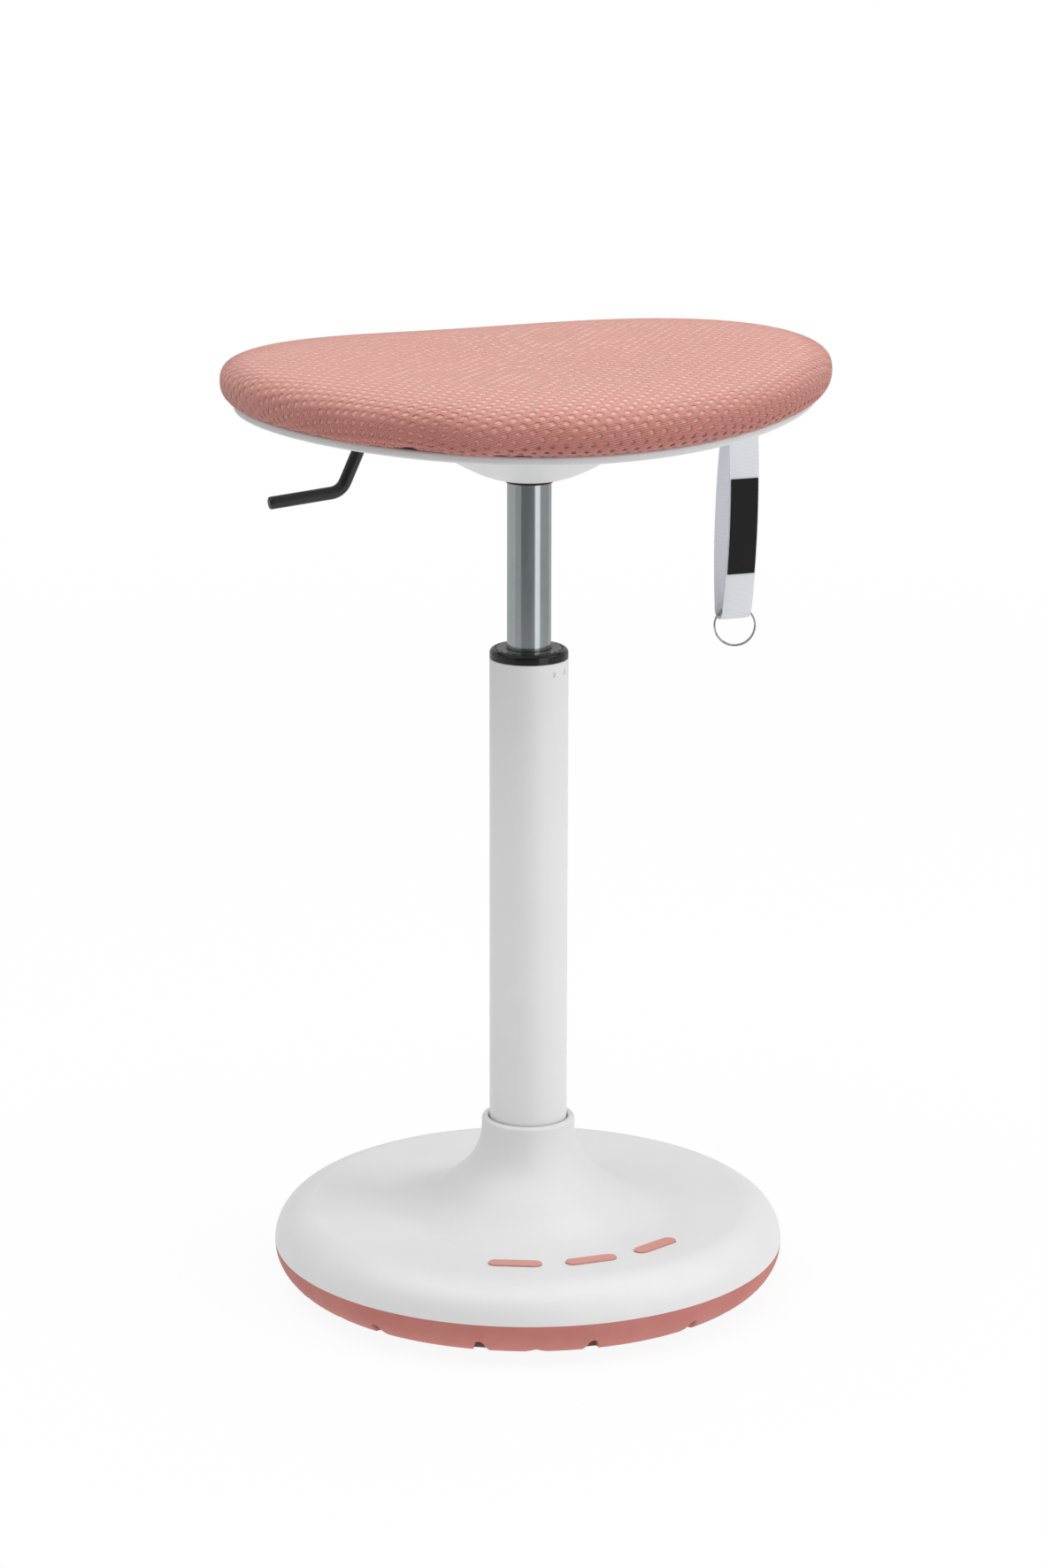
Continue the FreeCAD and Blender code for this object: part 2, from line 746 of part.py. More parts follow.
def build_ballast_ring():
    """Cast ring that lies on the plate, with round upper edges."""
    top = f"({PLATE_TOP} + ballast_height)"
    revolved_piece("ballast_ring", [
        ("ballast_inner_radius", PLATE_TOP),
        (BALLAST_RADIUS, PLATE_TOP),
        (BALLAST_RADIUS, f"{top} - ballast_round"),
        (f"{BALLAST_RADIUS} - ballast_round", top, "ballast_round"),
        ("ballast_inner_radius + ballast_round", top),
        ("ballast_inner_radius", f"{top} - ballast_round", "ballast_round"),
    ])


def build_base_cover():
    """Moulded cover: rounded lip and collar, flared neck, shallow dip, shoulder and locating skirt."""
    body = new_body("base_cover")
    bore = "(tube_radius + collar_gap)"
    neck_top = "(collar_top - collar_straight)"
    neck_r = "(collar_radius + neck_radius * (1 - cos(neck_turn)))"
    neck_z = f"({neck_top} - neck_radius * sin(neck_turn))"
    skirt_z = "(dip_height + skirt_radius * (1 - sin(neck_turn)))"
    skirt_r = f"({neck_r} + ({neck_z} - {skirt_z}) * tan(neck_turn))"
    dip_r = f"({skirt_r} + skirt_radius * cos(neck_turn))"
    shoulder_r = "(base_radius - shoulder_radius)"
    wall_across = "cover_wall * cos(neck_turn)"
    wall_up = "cover_wall * sin(neck_turn)"
    skirt_outer = "(base_radius - sole_lip - seat_gap)"
    skirt_inner = f"({skirt_outer} - cover_wall)"
    inner_round = "(shoulder_radius - cover_wall)"
    ledge = f"(sole_height + sqrt({inner_round}^2 - ({skirt_inner} - {shoulder_r})^2))"
    lip_round = "(collar_round / 2)"
    revolve(body, "cover_turned", [
        (bore, f"collar_top - {lip_round}", lip_round),
        (bore, neck_top),
        ("collar_radius - cover_wall", f"{neck_top} - edge_break"),
        (f"{neck_r} - {wall_across}", f"{neck_z} - {wall_up}", "neck_radius + cover_wall"),
        (f"{skirt_r} - {wall_across}", f"{skirt_z} - {wall_up}"),
        (dip_r, "dip_height - cover_wall", "skirt_radius + cover_wall"),
        (shoulder_r, "shoulder_height - cover_wall"),
        (skirt_inner, ledge, f"0 - {inner_round}"),
        (skirt_inner, "sole_height - skirt_depth"),
        (skirt_outer, "sole_height - skirt_depth"),
        (skirt_outer, "sole_height"),
        ("base_radius", "sole_height"),
        (shoulder_r, "shoulder_height", "shoulder_radius"),
        (dip_r, "dip_height"),
        (skirt_r, skirt_z, "0 - skirt_radius"),
        (neck_r, neck_z),
        ("collar_radius", neck_top, "0 - neck_radius"),
        ("collar_radius", "collar_top - collar_round"),
        ("collar_radius - collar_round", "collar_top", "collar_round"),
        (f"{bore} + {lip_round}", "collar_top"),
    ])
    boss = extrude(body, "cover_boss", "XY_Plane", lambda sketch: draw_circle(
        sketch, BOSS_CIRCLE, "0", "boss_radius"),
        PLATE_TOP, f"shoulder_height - cover_wall / 2 - {PLATE_TOP}")
    polar(body, "cover_bosses", [boss], "cover_screw_count")
    pilot = extrude(body, "cover_pilot", "XY_Plane", lambda sketch: draw_circle(
        sketch, BOSS_CIRCLE, "0", "cover_screw_radius + fit_gap"),
        f"{PLATE_TOP} - cut_room", "boss_pilot_depth + cut_room", cut=True)
    polar(body, "cover_pilots", [pilot], "cover_screw_count")
    recess = extrude(body, "inlay_recess", "XY_Plane", lambda sketch: trace(sketch, inlay_path("0")),
                     "dip_height - inlay_depth", "inlay_depth + cut_room", cut=True, turn="0 - inlay_spread / 2")
    polar(body, "inlay_recesses", [recess], "inlay_count", angle="inlay_spread")
    return finish(body)


def inlay_path(gap):
    """Give an inlay's outline: a bar with round ends, in front of the column."""
    half = f"(inlay_width / 2 - ({gap}))"
    straight = "((inlay_length - inlay_width) / 2)"
    middle = f"(0 - {INLAY_CIRCLE})"
    return [
        (f"0 - {straight}", f"{middle} - {half}", half),
        (straight, f"{middle} - {half}"),
        (f"{straight} + {half}", middle, half),
        (straight, f"{middle} + {half}", half),
        (f"0 - {straight}", f"{middle} + {half}"),
        (f"0 - {straight} - {half}", middle, half),
    ]


def build_cover_inlays():
    """Three inserts with round ends, seated in the cover's recesses and standing a little proud."""
    body = new_body("cover_inlays")
    floor = "(dip_height - inlay_depth + fit_gap)"
    bar = extrude(body, "inlay_bar", "XY_Plane", lambda sketch: trace(sketch, inlay_path("inlay_gap")),
                  floor, f"shoulder_height + inlay_proud - {floor}", turn="0 - inlay_spread / 2")
    polar(body, "inlay_bars", [bar], "inlay_count", angle="inlay_spread")
    return finish(body)


def build_cover_screws():
    """Screws up through the plate into the cover's bosses."""
    screw_ring("cover_screws", BOSS_CIRCLE, "cover_screw_radius", "cover_screw_head_radius",
               "sole_floor + fit_gap", "cover_screw_head_height", "cover_screw_length", "cover_screw_count", "0")


# The column


def build_column_socket():
    """Steel sleeve on the plate that holds the column's foot, thinner towards its mouth."""
    bore = "(tube_radius + fit_gap)"
    top = f"({PLATE_TOP} + socket_height)"
    revolved_piece("column_socket", [
        (bore, PLATE_TOP),
        (f"{bore} + socket_wall + socket_fillet", PLATE_TOP),
        (f"{bore} + socket_wall", f"{PLATE_TOP} + socket_fillet", "0 - socket_fillet"),
        (f"{bore} + socket_top_wall", f"{top} - edge_break"),
        (f"{bore} + socket_top_wall - edge_break", top),
        (bore, top),
    ])


def build_column_tube():
    """Outer tube with a rolled mouth and two pairs of crimp dimples that hold the bush."""
    body = new_body("column_tube")
    inner = "(tube_radius - tube_wall)"
    revolve(body, "tube_turned", [
        (inner, PLATE_TOP),
        ("tube_radius", PLATE_TOP),
        ("tube_radius", f"{TUBE_TOP} - tube_wall / 2"),
        ("tube_radius - tube_wall / 2", TUBE_TOP, "tube_wall / 2"),
        (inner, TUBE_TOP),
    ])
    reach = "(tube_radius - dimple_depth)"
    height = f"({TUBE_TOP} - dimple_drop)"
    front = extrude(body, "front_dimple", "XZ_Plane", lambda sketch: draw_circle(
        sketch, "0", height, "dimple_radius"), reach, "dimple_depth + cut_room", cut=True)
    rear = extrude(body, "rear_dimple", "XZ_Plane", lambda sketch: draw_circle(
        sketch, "0", height, "dimple_radius"),
        f"0 - {reach} - dimple_depth - cut_room", "dimple_depth + cut_room", cut=True)
    polar(body, "dimple_pairs", [front, rear], 2, angle="dimple_pair_angle")
    turn_body(body, "dimple_turn")
    return finish(body)


def build_column_end_plate():
    """Disc in the tube's foot that carries the rod."""
    revolved_piece("column_end_plate", ring_path(
        "tenon_radius + fit_gap", "tube_radius - tube_wall - fit_gap", END_PLATE_BOTTOM, END_PLATE_TOP))


def build_guide_bush():
    """Plastic bush: flange on the tube's mouth, hollow sleeve inside, ring of slots in its top."""
    body = new_body("guide_bush")
    bore = "(cylinder_radius + fit_gap)"
    outer = "(tube_radius - tube_wall - fit_gap)"
    foot = f"({TUBE_TOP} - bush_sleeve)"
    revolve(body, "bush_turned", [
        (bore, foot),
        (f"{bore} + bush_web", foot),
        (f"{bore} + bush_web", f"{TUBE_TOP} - bush_web"),
        (f"{outer} - bush_web / 2", f"{TUBE_TOP} - bush_web"),
        (f"{outer} - bush_web / 2", foot),
        (outer, foot),
        (outer, TUBE_TOP),
        ("tube_radius", TUBE_TOP),
        ("tube_radius", f"{BUSH_TOP} - bush_edge_round"),
        ("tube_radius - bush_edge_round", BUSH_TOP, "bush_edge_round"),
        (f"{bore} + edge_break", BUSH_TOP),
        (bore, f"{BUSH_TOP} - edge_break"),
    ])
    slot = extrude(body, "bush_slot", "XY_Plane", lambda sketch: trace(sketch, box_path(
        "bush_slot_circle_radius - bush_slot_width / 2", "bush_slot_circle_radius + bush_slot_width / 2",
        "0 - bush_slot_length / 2", "bush_slot_length / 2")),
        f"{BUSH_TOP} - bush_slot_depth", "bush_slot_depth + cut_room", cut=True)
    polar(body, "bush_slots", [slot], "bush_slot_count")
    return finish(body)


def build_lower_bearing_washer():
    """Fixed race of the thrust bearing."""
    revolved_piece("lower_bearing_washer", ring_path(
        "tenon_radius + hole_gap", "washer_radius", END_PLATE_TOP, f"{END_PLATE_TOP} + washer_thickness"))


# The piston rod and what turns with it


def build_piston_rod():
    """Rod with a tenon at its foot, a clip groove and a chamfered head."""
    foot = f"({PLATE_TOP} + tenon_end)"
    groove_top = f"({END_PLATE_BOTTOM} - fit_gap)"
    groove_foot = f"({groove_top} - clip_thickness - fit_gap)"
    head = f"({PISTON_Z} + piston_height)"
    revolved_piece("piston_rod", [
        ("0", foot),
        ("tenon_radius - edge_break", foot),
        ("tenon_radius", f"{foot} + edge_break"),
        ("tenon_radius", groove_foot),
        ("tenon_radius - clip_groove_depth", groove_foot),
        ("tenon_radius - clip_groove_depth", groove_top),
        ("tenon_radius", groove_top),
        ("tenon_radius", ROD_SHOULDER),
        ("rod_radius", ROD_SHOULDER),
        ("rod_radius", f"{head} - edge_break"),
        ("rod_radius - edge_break", head),
        ("0", head),
    ])


def build_retaining_clip():
    """Spring clip in the rod's groove under the end plate, open at one side."""
    body = new_body("retaining_clip")
    top = f"({END_PLATE_BOTTOM} - 1.5 * fit_gap)"
    inner = "(tenon_radius - clip_groove_depth)"
    revolve(body, "clip_turned", ring_path(inner, "clip_radius", f"{top} - clip_thickness", top))
    extrude(body, "clip_mouth", "XY_Plane", lambda sketch: trace(sketch, box_path(
        "0", "clip_radius + cut_room", "0 - clip_mouth_half_width", "clip_mouth_half_width")),
        f"{top} - cut_room", "2 * cut_room", cut=True)
    return finish(body)


def build_bearing_balls():
    """Ring of balls between the two races."""
    body = new_body("bearing_balls")
    sketch = place_sketch(body, "ball_profile", "XZ_Plane")
    low = f"{BALL_Z} - ball_radius"
    high = f"{BALL_Z} + ball_radius"
    side = "ball_circle_radius + ball_radius"
    trace(sketch, [("ball_circle_radius", low), (side, BALL_Z, "ball_radius"),
                   ("ball_circle_radius", high, "ball_radius")])
    ball = add_feature(body, "Revolution", "ball_turned", sketch)
    ball.ReferenceAxis = (sketch, ["Axis0"])
    add_axis(sketch, "ball_circle_radius")
    ball.Angle = 360
    polar(body, "ball_ring", [ball], "ball_count")
    return finish(body)


def build_ball_cage():
    """Flat cage with a hole round each ball."""
    body = new_body("ball_cage")
    low = f"({BALL_Z} - cage_thickness / 2)"
    revolve(body, "cage_turned", ring_path("ball_circle_radius - ball_radius - cage_rim",
                                           "ball_circle_radius + ball_radius + cage_rim", low,
                                           f"{low} + cage_thickness"))
    hole = extrude(body, "cage_hole", "XY_Plane", lambda sketch: draw_circle(
        sketch, "ball_circle_radius", "0", "ball_radius + fit_gap"),
        f"{low} - cut_room", "cage_thickness + 2 * cut_room", cut=True)
    polar(body, "cage_holes", [hole], "ball_count")
    return finish(body)


def build_upper_bearing_washer():
    """Turning race under the rod's shoulder."""
    revolved_piece("upper_bearing_washer", ring_path(
        "tenon_radius + fit_gap", "washer_radius", UPPER_WASHER_Z, ROD_SHOULDER))


def build_rubber_bumper():
    """End stop: a waisted rubber sleeve on the rod."""
    bore = "(rod_radius + fit_gap)"
    low = f"({ROD_SHOULDER} + fit_gap)"
    top = f"({low} + bumper_height)"
    revolved_piece("rubber_bumper", [
        (bore, low),
        ("bumper_radius", low),
        ("bumper_radius - bumper_waist", f"{low} + bumper_height / 2", "0 - bumper_height"),
        ("bumper_radius", top, "0 - bumper_height"),
        (bore, top),
    ])


def build_piston():
    """Piston on the rod's head, with a groove for its ring."""
    outer = f"({PISTON_ROOM} - 2 * fit_gap)"
    bore = "(rod_radius + fit_gap)"
    low = PISTON_Z
    high = f"({PISTON_Z} + piston_height)"
    groove_low = f"({PISTON_Z} + (piston_height - piston_ring_height) / 2)"
    groove_high = f"({groove_low} + piston_ring_height)"
    revolved_piece("piston", [
        (bore, low),
        (f"{outer} - edge_break", low),
        (outer, f"{low} + edge_break"),
        (outer, groove_low),
        (f"{outer} - piston_ring_depth", groove_low),
        (f"{outer} - piston_ring_depth", groove_high),
        (outer, groove_high),
        (outer, f"{high} - edge_break"),
        (f"{outer} - edge_break", high),
        (bore, high),
    ])


def build_piston_ring():
    """Seal ring in the piston's groove."""
    groove_low = f"({PISTON_Z} + (piston_height - piston_ring_height) / 2)"
    outer = f"({PISTON_ROOM} - 2 * fit_gap)"
    revolved_piece("piston_ring", ring_path(
        f"{outer} - piston_ring_depth + fit_gap", f"{PISTON_ROOM} - fit_gap", f"{groove_low} + fit_gap",
        f"{groove_low} + piston_ring_height - fit_gap"))


# The gas cylinder


def cone_radius_at(height):
    """Give the radius of the cylinder's tapered head at a height."""
    foot = f"({SEAT_Z} + cone_lift)"
    return f"(cylinder_radius - cylinder_taper * (({height}) - {foot}) / ({CYLINDER_TOP} - {foot}))"


def build_pressure_tube():
    """Cylinder with a tapered head and its foot crimped in over the rod's guide."""
    inner = "(cylinder_radius - cylinder_wall)"
    cone_foot = f"({SEAT_Z} + cone_lift)"
    revolved_piece("pressure_tube", [
        (f"{inner} - cylinder_wall", CYLINDER_BOTTOM),
        ("cylinder_radius - cylinder_wall", CYLINDER_BOTTOM),
        ("cylinder_radius", f"{CYLINDER_BOTTOM} + cylinder_wall", "cylinder_wall"),
        ("cylinder_radius", cone_foot),
        (cone_radius_at(CYLINDER_TOP), CYLINDER_TOP),
        (f"{inner} - cylinder_taper", CYLINDER_TOP),
        (f"{inner} - cylinder_taper", VALVE_BOTTOM),
        (inner, f"{VALVE_BOTTOM} - edge_break"),
        (inner, f"{CYLINDER_BOTTOM} + cylinder_wall"),
        (f"{inner} - cylinder_wall", f"{CYLINDER_BOTTOM} + cylinder_wall"),
    ])


def build_inner_cylinder():
    """Tube in which the piston runs, between the rod's guide and the valve."""
    revolved_piece("inner_cylinder", ring_path(PISTON_ROOM, INNER_TUBE_RADIUS, GUIDE_TOP, VALVE_BOTTOM))


def build_rod_guide():
    """Guide and seal of the rod in the cylinder's foot, with a seal groove."""
    low = f"({CYLINDER_BOTTOM} + rod_guide_inset)"
    outer = "(cylinder_radius - cylinder_wall - fit_gap)"
    bore = "(rod_radius + fit_gap)"
    revolved_piece("rod_guide", [
        (bore, low),
        (outer, low),
        (outer, f"{low} + rod_guide_height / 3"),
        (f"{outer} - edge_break", f"{low} + rod_guide_height / 3"),
        (f"{outer} - edge_break", f"{low} + rod_guide_height / 2"),
        (outer, f"{low} + rod_guide_height / 2"),
        (outer, GUIDE_TOP),
        (bore, GUIDE_TOP),
    ])


def build_valve_body():
    """Plug in the cylinder's head with the blind bore of the release pin."""
    outer = "(cylinder_radius - cylinder_wall - cylinder_taper - fit_gap)"
    bore = "(pin_radius + fit_gap)"
    revolved_piece("valve_body", [
        ("0", VALVE_BOTTOM),
        (outer, VALVE_BOTTOM),
        (outer, CYLINDER_TOP),
        (bore, CYLINDER_TOP),
        (bore, f"{PIN_TOP} - pin_length - pin_room"),
        ("0", f"{PIN_TOP} - pin_length - pin_room"),
    ])


def build_release_pin():
    """Valve pin with a domed head under the lever."""
    revolved_piece("release_pin", [
        ("0", f"{PIN_TOP} - pin_length"),
        ("pin_radius", f"{PIN_TOP} - pin_length"),
        ("pin_radius", f"{PIN_TOP} - edge_break"),
        ("pin_radius - edge_break", PIN_TOP, "edge_break"),
        ("0", PIN_TOP),
    ])


def build_dust_ring():
    """Rubber ring on the cylinder, up against the socket's foot."""
    revolved_piece("dust_ring", ring_path(
        "cylinder_radius + fit_gap", "cylinder_radius + dust_ring_wall",
        f"{SEAT_Z} - dust_ring_drop", f"{SEAT_Z} + cone_lift - fit_gap"))


# Socket, pan and plate under the seat


def build_cone_socket():
    """Steel socket bored to the cylinder's taper, standing in the pan's floor."""
    foot = f"({SEAT_Z} + cone_lift)"
    top = f"({foot} + cone_height)"
    head = f"({CYLINDER_TOP} - edge_break)"
    revolved_piece("cone_socket", [
        (f"{cone_radius_at(foot)} + fit_gap", foot),
        ("cone_radius - edge_break", foot),
        ("cone_radius", f"{foot} + edge_break"),
        ("cone_radius", top),
        (f"{cone_radius_at(head)} + fit_gap", top),
    ])


def build_lift_housing():
    """Pressed pan: floor round the socket, walls with the pivot holes, lever slot and bolting flange."""
    body = new_body("lift_housing")
    extrude(body, "flange", "XY_Plane", lambda sketch: trace(sketch, rounded_box_path(
        "flange_half_size", "flange_half_size", "flange_corner")), FLANGE_Z, "sheet_thickness")
    extrude(body, "pan_block", "XY_Plane", lambda sketch: trace(sketch, rounded_box_path(
        "pan_half_length", "pan_half_width", "pan_corner")), PAN_FLOOR, f"{FLANGE_Z} - {PAN_FLOOR}")
    round_edges(body, "pan_round", "pan_wall", lambda edge: edge.CenterOfMass.z < value(PAN_FLOOR) + 0.01)
    extrude(body, "pan_hollow", "XY_Plane", lambda sketch: trace(sketch, rounded_box_path(
        "pan_half_length - pan_wall", "pan_half_width - pan_wall", "pan_corner - pan_wall")),
        f"{PAN_FLOOR} + pan_wall", f"{PLATE_Z} - {PAN_FLOOR}", cut=True)
    extrude(body, "socket_hole", "XY_Plane", lambda sketch: draw_circle(
        sketch, "0", "0", "cone_radius + fit_gap"), f"{PAN_FLOOR} - cut_room", "pan_wall + 2 * cut_room", cut=True)
    extrude(body, "pivot_holes", "XZ_Plane", lambda sketch: draw_circle(
        sketch, "0 - pivot_offset", LEVER_Z, "pivot_radius + fit_gap"), "0", "4 * pan_half_width",
        cut=True, symmetric=True)
    extrude(body, "lever_window", "YZ_Plane", lambda sketch: trace(sketch, box_path(
        "0 - lever_slot_half_width", "lever_slot_half_width", f"{LEVER_Z} - lever_window_drop",
        FLANGE_Z)), "0 - pan_half_length - cut_room", "pan_wall + 2 * cut_room", cut=True)
    hole = extrude(body, "flange_hole", "XY_Plane", lambda sketch: draw_circle(
        sketch, "plate_bolt_circle_radius", "0", "bolt_radius + hole_gap"),
        f"{FLANGE_Z} - cut_room", "sheet_thickness + 2 * cut_room", cut=True, turn="45")
    polar(body, "flange_holes", [hole], "plate_bolt_count")
    return finish(body)


def build_mounting_plate():
    """Flat steel plate between the pan's flange and the board."""
    body = new_body("mounting_plate")
    extrude(body, "plate_block", "XY_Plane", lambda sketch: trace(sketch, rounded_box_path(
        "flange_half_size", "flange_half_size", "flange_corner")), PLATE_Z, "sheet_thickness")
    hole = extrude(body, "bolt_hole", "XY_Plane", lambda sketch: draw_circle(
        sketch, "plate_bolt_circle_radius", "0", "bolt_radius + hole_gap"),
        f"{PLATE_Z} - cut_room", "sheet_thickness + 2 * cut_room", cut=True, turn="45")
    polar(body, "bolt_holes", [hole], "plate_bolt_count")
    return finish(body)


def build_plate_bolts():
    """Bolts up through flange and plate into the nuts in the board."""
    screw_ring("plate_bolts", "plate_bolt_circle_radius", "bolt_radius", "bolt_head_radius",
               f"{FLANGE_Z} - bolt_head_height", "bolt_head_height",
               "2 * sheet_thickness + tee_nut_length - edge_break", "plate_bolt_count", "45")


def build_tee_nuts():
    """Flanged nuts let into the board from above, one over each bolt."""
    body = new_body("tee_nuts")
    top = f"({BOARD_TOP} - tee_nut_flange)"
    sketch = place_sketch(body, "nut_profile", "XZ_Plane")
    bore = "(plate_bolt_circle_radius + bolt_radius + fit_gap)"
    barrel = "(plate_bolt_circle_radius + tee_nut_barrel_radius)"
    rim = "(plate_bolt_circle_radius + tee_nut_radius)"
    trace(sketch, [(bore, f"{top} - tee_nut_length + tee_nut_flange"),
                   (barrel, f"{top} - tee_nut_length + tee_nut_flange"), (barrel, top), (rim, top),
                   (rim, f"{top} + tee_nut_flange"), (bore, f"{top} + tee_nut_flange")])
    add_axis(sketch, "plate_bolt_circle_radius")
    nut = add_feature(body, "Revolution", "nut_turned", sketch)
    nut.ReferenceAxis = (sketch, ["Axis0"])
    nut.Angle = 360
    polar(body, "nut_ring", [nut], "plate_bolt_count")
    turn_body(body, "45")
    return finish(body)


# The seat


def build_seat_board():
    """Moulded plywood board: saddle slab with a flat pad for the plate and holes for nuts and screws."""
    body = new_body("seat_board")
    oval_block(body, "board_block", "board_inset")
    saddle_cut(body, "board_under", BOARD_BOTTOM, above=False)
    extrude(body, "board_pad", "XY_Plane", lambda sketch: trace(sketch, rounded_box_path(
        "board_pad_half_size", "board_pad_half_size", "flange_corner")), BOARD_PAD_Z, "board_thickness")
    saddle_cut(body, "board_over", BOARD_TOP, above=True)
    barrel = extrude(body, "nut_bore", "XY_Plane", lambda sketch: draw_circle(
        sketch, "plate_bolt_circle_radius", "0", "tee_nut_barrel_radius + fit_gap"),
        f"{BOARD_PAD_Z} - cut_room", "2 * board_thickness + cut_room", cut=True, turn="45")
    seat = extrude(body, "nut_seat", "XY_Plane", lambda sketch: draw_circle(
        sketch, "plate_bolt_circle_radius", "0", "tee_nut_radius + hole_gap"),
        f"{BOARD_TOP} - tee_nut_flange", "board_thickness", cut=True, turn="45")
    polar(body, "nut_holes", [barrel, seat], "plate_bolt_count")
    pilot = extrude(body, "shell_pilot", "XY_Plane", lambda sketch: draw_circle(
        sketch, "shell_screw_circle_radius", "0", "shell_screw_radius + fit_gap"),
        f"{RIM_TOP} - block_room", f"{shell_screw_shoulder()} + shell_screw_length + edge_break"
        f" - ({RIM_TOP} - block_room)", cut=True, turn="45")
    polar(body, "shell_pilots", [pilot], "shell_screw_count")
    for side, name in (("1", "front_pilot"), ("0 - 1", "rear_pilot")):
        extrude(body, name, "XY_Plane", lambda sketch: draw_circle(
            sketch, "strap_offset", f"({side}) * bracket_screw_offset", "shell_screw_radius + fit_gap"),
            f"{RIM_TOP} - block_room", f"{bracket_screw_shoulder()} + bracket_screw_length + edge_break"
            f" - ({RIM_TOP} - block_room)", cut=True)
    return finish(body)


def build_seat_foam():
    """Foam block on the board, crowned and rounded like the cover over it."""
    foam = cushion_body("seat_foam", "cover_thickness + foam_gap", f"{BOARD_TOP} + foam_gap",
                        f"{CUSHION_TOP} - cover_thickness - foam_gap", rounded_bottom=False)
    return finish(foam)


def build_seat_cover():
    """Spacer-mesh cover: full over the foam, tucked in under the board's edge."""
    outer = cushion_body("cover_outer", "0", f"{RIM_TOP} + foam_gap", CUSHION_TOP, rounded_bottom=True)
    inner = cushion_body("cover_inner", "cover_thickness", BOARD_BOTTOM,
                         f"{CUSHION_TOP} - cover_thickness", rounded_bottom=False)
    mouth = new_body("cover_mouth")
    extrude(mouth, "mouth_block", "XY_Plane", lambda sketch: trace(sketch, oval_path("rim_inset + lip_width")),
            f"({RIM_TOP} - block_room)", "2 * block_room + lip_space")
    hollow = document.addObject("Part::MultiFuse", "cover_hollow")
    hollow.Shapes = [inner, mouth]
    cover = document.addObject("Part::Cut", "seat_cover")
    cover.Base = outer
    cover.Tool = hollow
    return finish(cover, "seat_cover")


def build_seat_shell():
    """Moulded under-shell: saddle rim, hollow central bulge, lever slot and screw bosses."""
    body = new_body("seat_shell")
    oval_block(body, "shell_block", "rim_inset")
    saddle_cut(body, "shell_under", RIM_BOTTOM, above=False)
    round_edges(body, "shell_edge", "rim_edge_round",
                edges_of_face_now(body, lambda face: -face.CenterOfMass.z))
    top = f"({SEAT_Z} + bulge_top_lift)"
    mid = f"({SEAT_Z} + bulge_mid_lift)"
    revolve(body, "bulge", [
        ("0", SEAT_Z),
        ("bulge_bottom_radius", SEAT_Z),
        ("bulge_mid_radius", mid, "bulge_lower_curve"),
        ("bulge_top_radius", top, "0 - bulge_flare"),
        ("bulge_top_radius", f"{RIM_TOP} + block_room"),
        ("0", f"{RIM_TOP} + block_room"),
    ])
    inner_top = "(bulge_top_radius - shell_wall)"
    revolve(body, "bulge_hollow", [
        ("0", f"{SEAT_Z} + shell_wall"),
        ("bulge_bottom_radius", f"{SEAT_Z} + shell_wall"),
        ("bulge_mid_radius - shell_wall / 2", f"{mid} + shell_wall", "bulge_lower_curve"),
        (inner_top, f"{top} + shell_wall / 2", "0 - bulge_flare"),
        (inner_top, f"{RIM_TOP} + 2 * block_room"),
        ("0", f"{RIM_TOP} + 2 * block_room"),
    ], kind="Groove")
    saddle_cut(body, "shell_over", RIM_TOP, above=True)
    extrude(body, "tube_hole", "XY_Plane", lambda sketch: draw_circle(
        sketch, "0", "0", "cylinder_radius + shell_hole_gap"),
        f"{SEAT_Z} - cut_room", "shell_wall + 2 * cut_room", cut=True)
    slot = rounded_box_path("(lever_slot_end - lever_slot_start) / 2", "lever_slot_half_width", "lever_slot_corner")
    middle = "(lever_slot_end + lever_slot_start) / 2"
    extrude(body, "lever_slot", "XY_Plane", lambda sketch: trace(sketch, [
        (f"{entry[0]} - {middle}", *entry[1:]) for entry in slot]), SEAT_Z, "rim_lift + block_room", cut=True)
    boss = extrude(body, "shell_boss", "XY_Plane", lambda sketch: draw_circle(
        sketch, "shell_screw_circle_radius", "0", "shell_boss_radius"),
        RIM_TOP, f"{BOARD_BOTTOM} - shell_boss_gap - {RIM_TOP}", turn="45")
    hole = extrude(body, "shell_hole", "XY_Plane", lambda sketch: draw_circle(
        sketch, "shell_screw_circle_radius", "0", "shell_screw_radius + hole_gap"),
        f"{RIM_BOTTOM} - cut_room", "2 * block_room", cut=True, turn="45")
    polar(body, "shell_bosses", [boss, hole], "shell_screw_count")
    for side, name in (("1", "front_hole"), ("0 - 1", "rear_hole")):
        extrude(body, name, "XY_Plane", lambda sketch: draw_circle(
            sketch, "strap_offset", f"({side}) * bracket_screw_offset", "shell_screw_radius + hole_gap"),
            f"{RIM_BOTTOM} - cut_room", "2 * block_room", cut=True)
    return finish(body)


def shell_screw_shoulder():
    """Give the height at which the shell screws' heads meet the rim's underside."""
    return saddle_height(RIM_BOTTOM, "(shell_screw_circle_radius * cos(45) - shell_screw_head_radius)")


def bracket_screw_shoulder():
    """Give the height at which the bracket screws' heads meet the bracket."""
    rim = saddle_height(RIM_BOTTOM, "(strap_offset - shell_screw_head_radius)")
    return f"({rim} - fit_gap - bracket_thickness)"


def build_shell_screws():
    """Screws up through the shell's bosses into the board."""
    screw_ring("shell_screws", "shell_screw_circle_radius", "shell_screw_radius", "shell_screw_head_radius",
               f"{shell_screw_shoulder()} - shell_screw_head_height",
               "shell_screw_head_height", "shell_screw_length", "shell_screw_count", "45")


# The lever


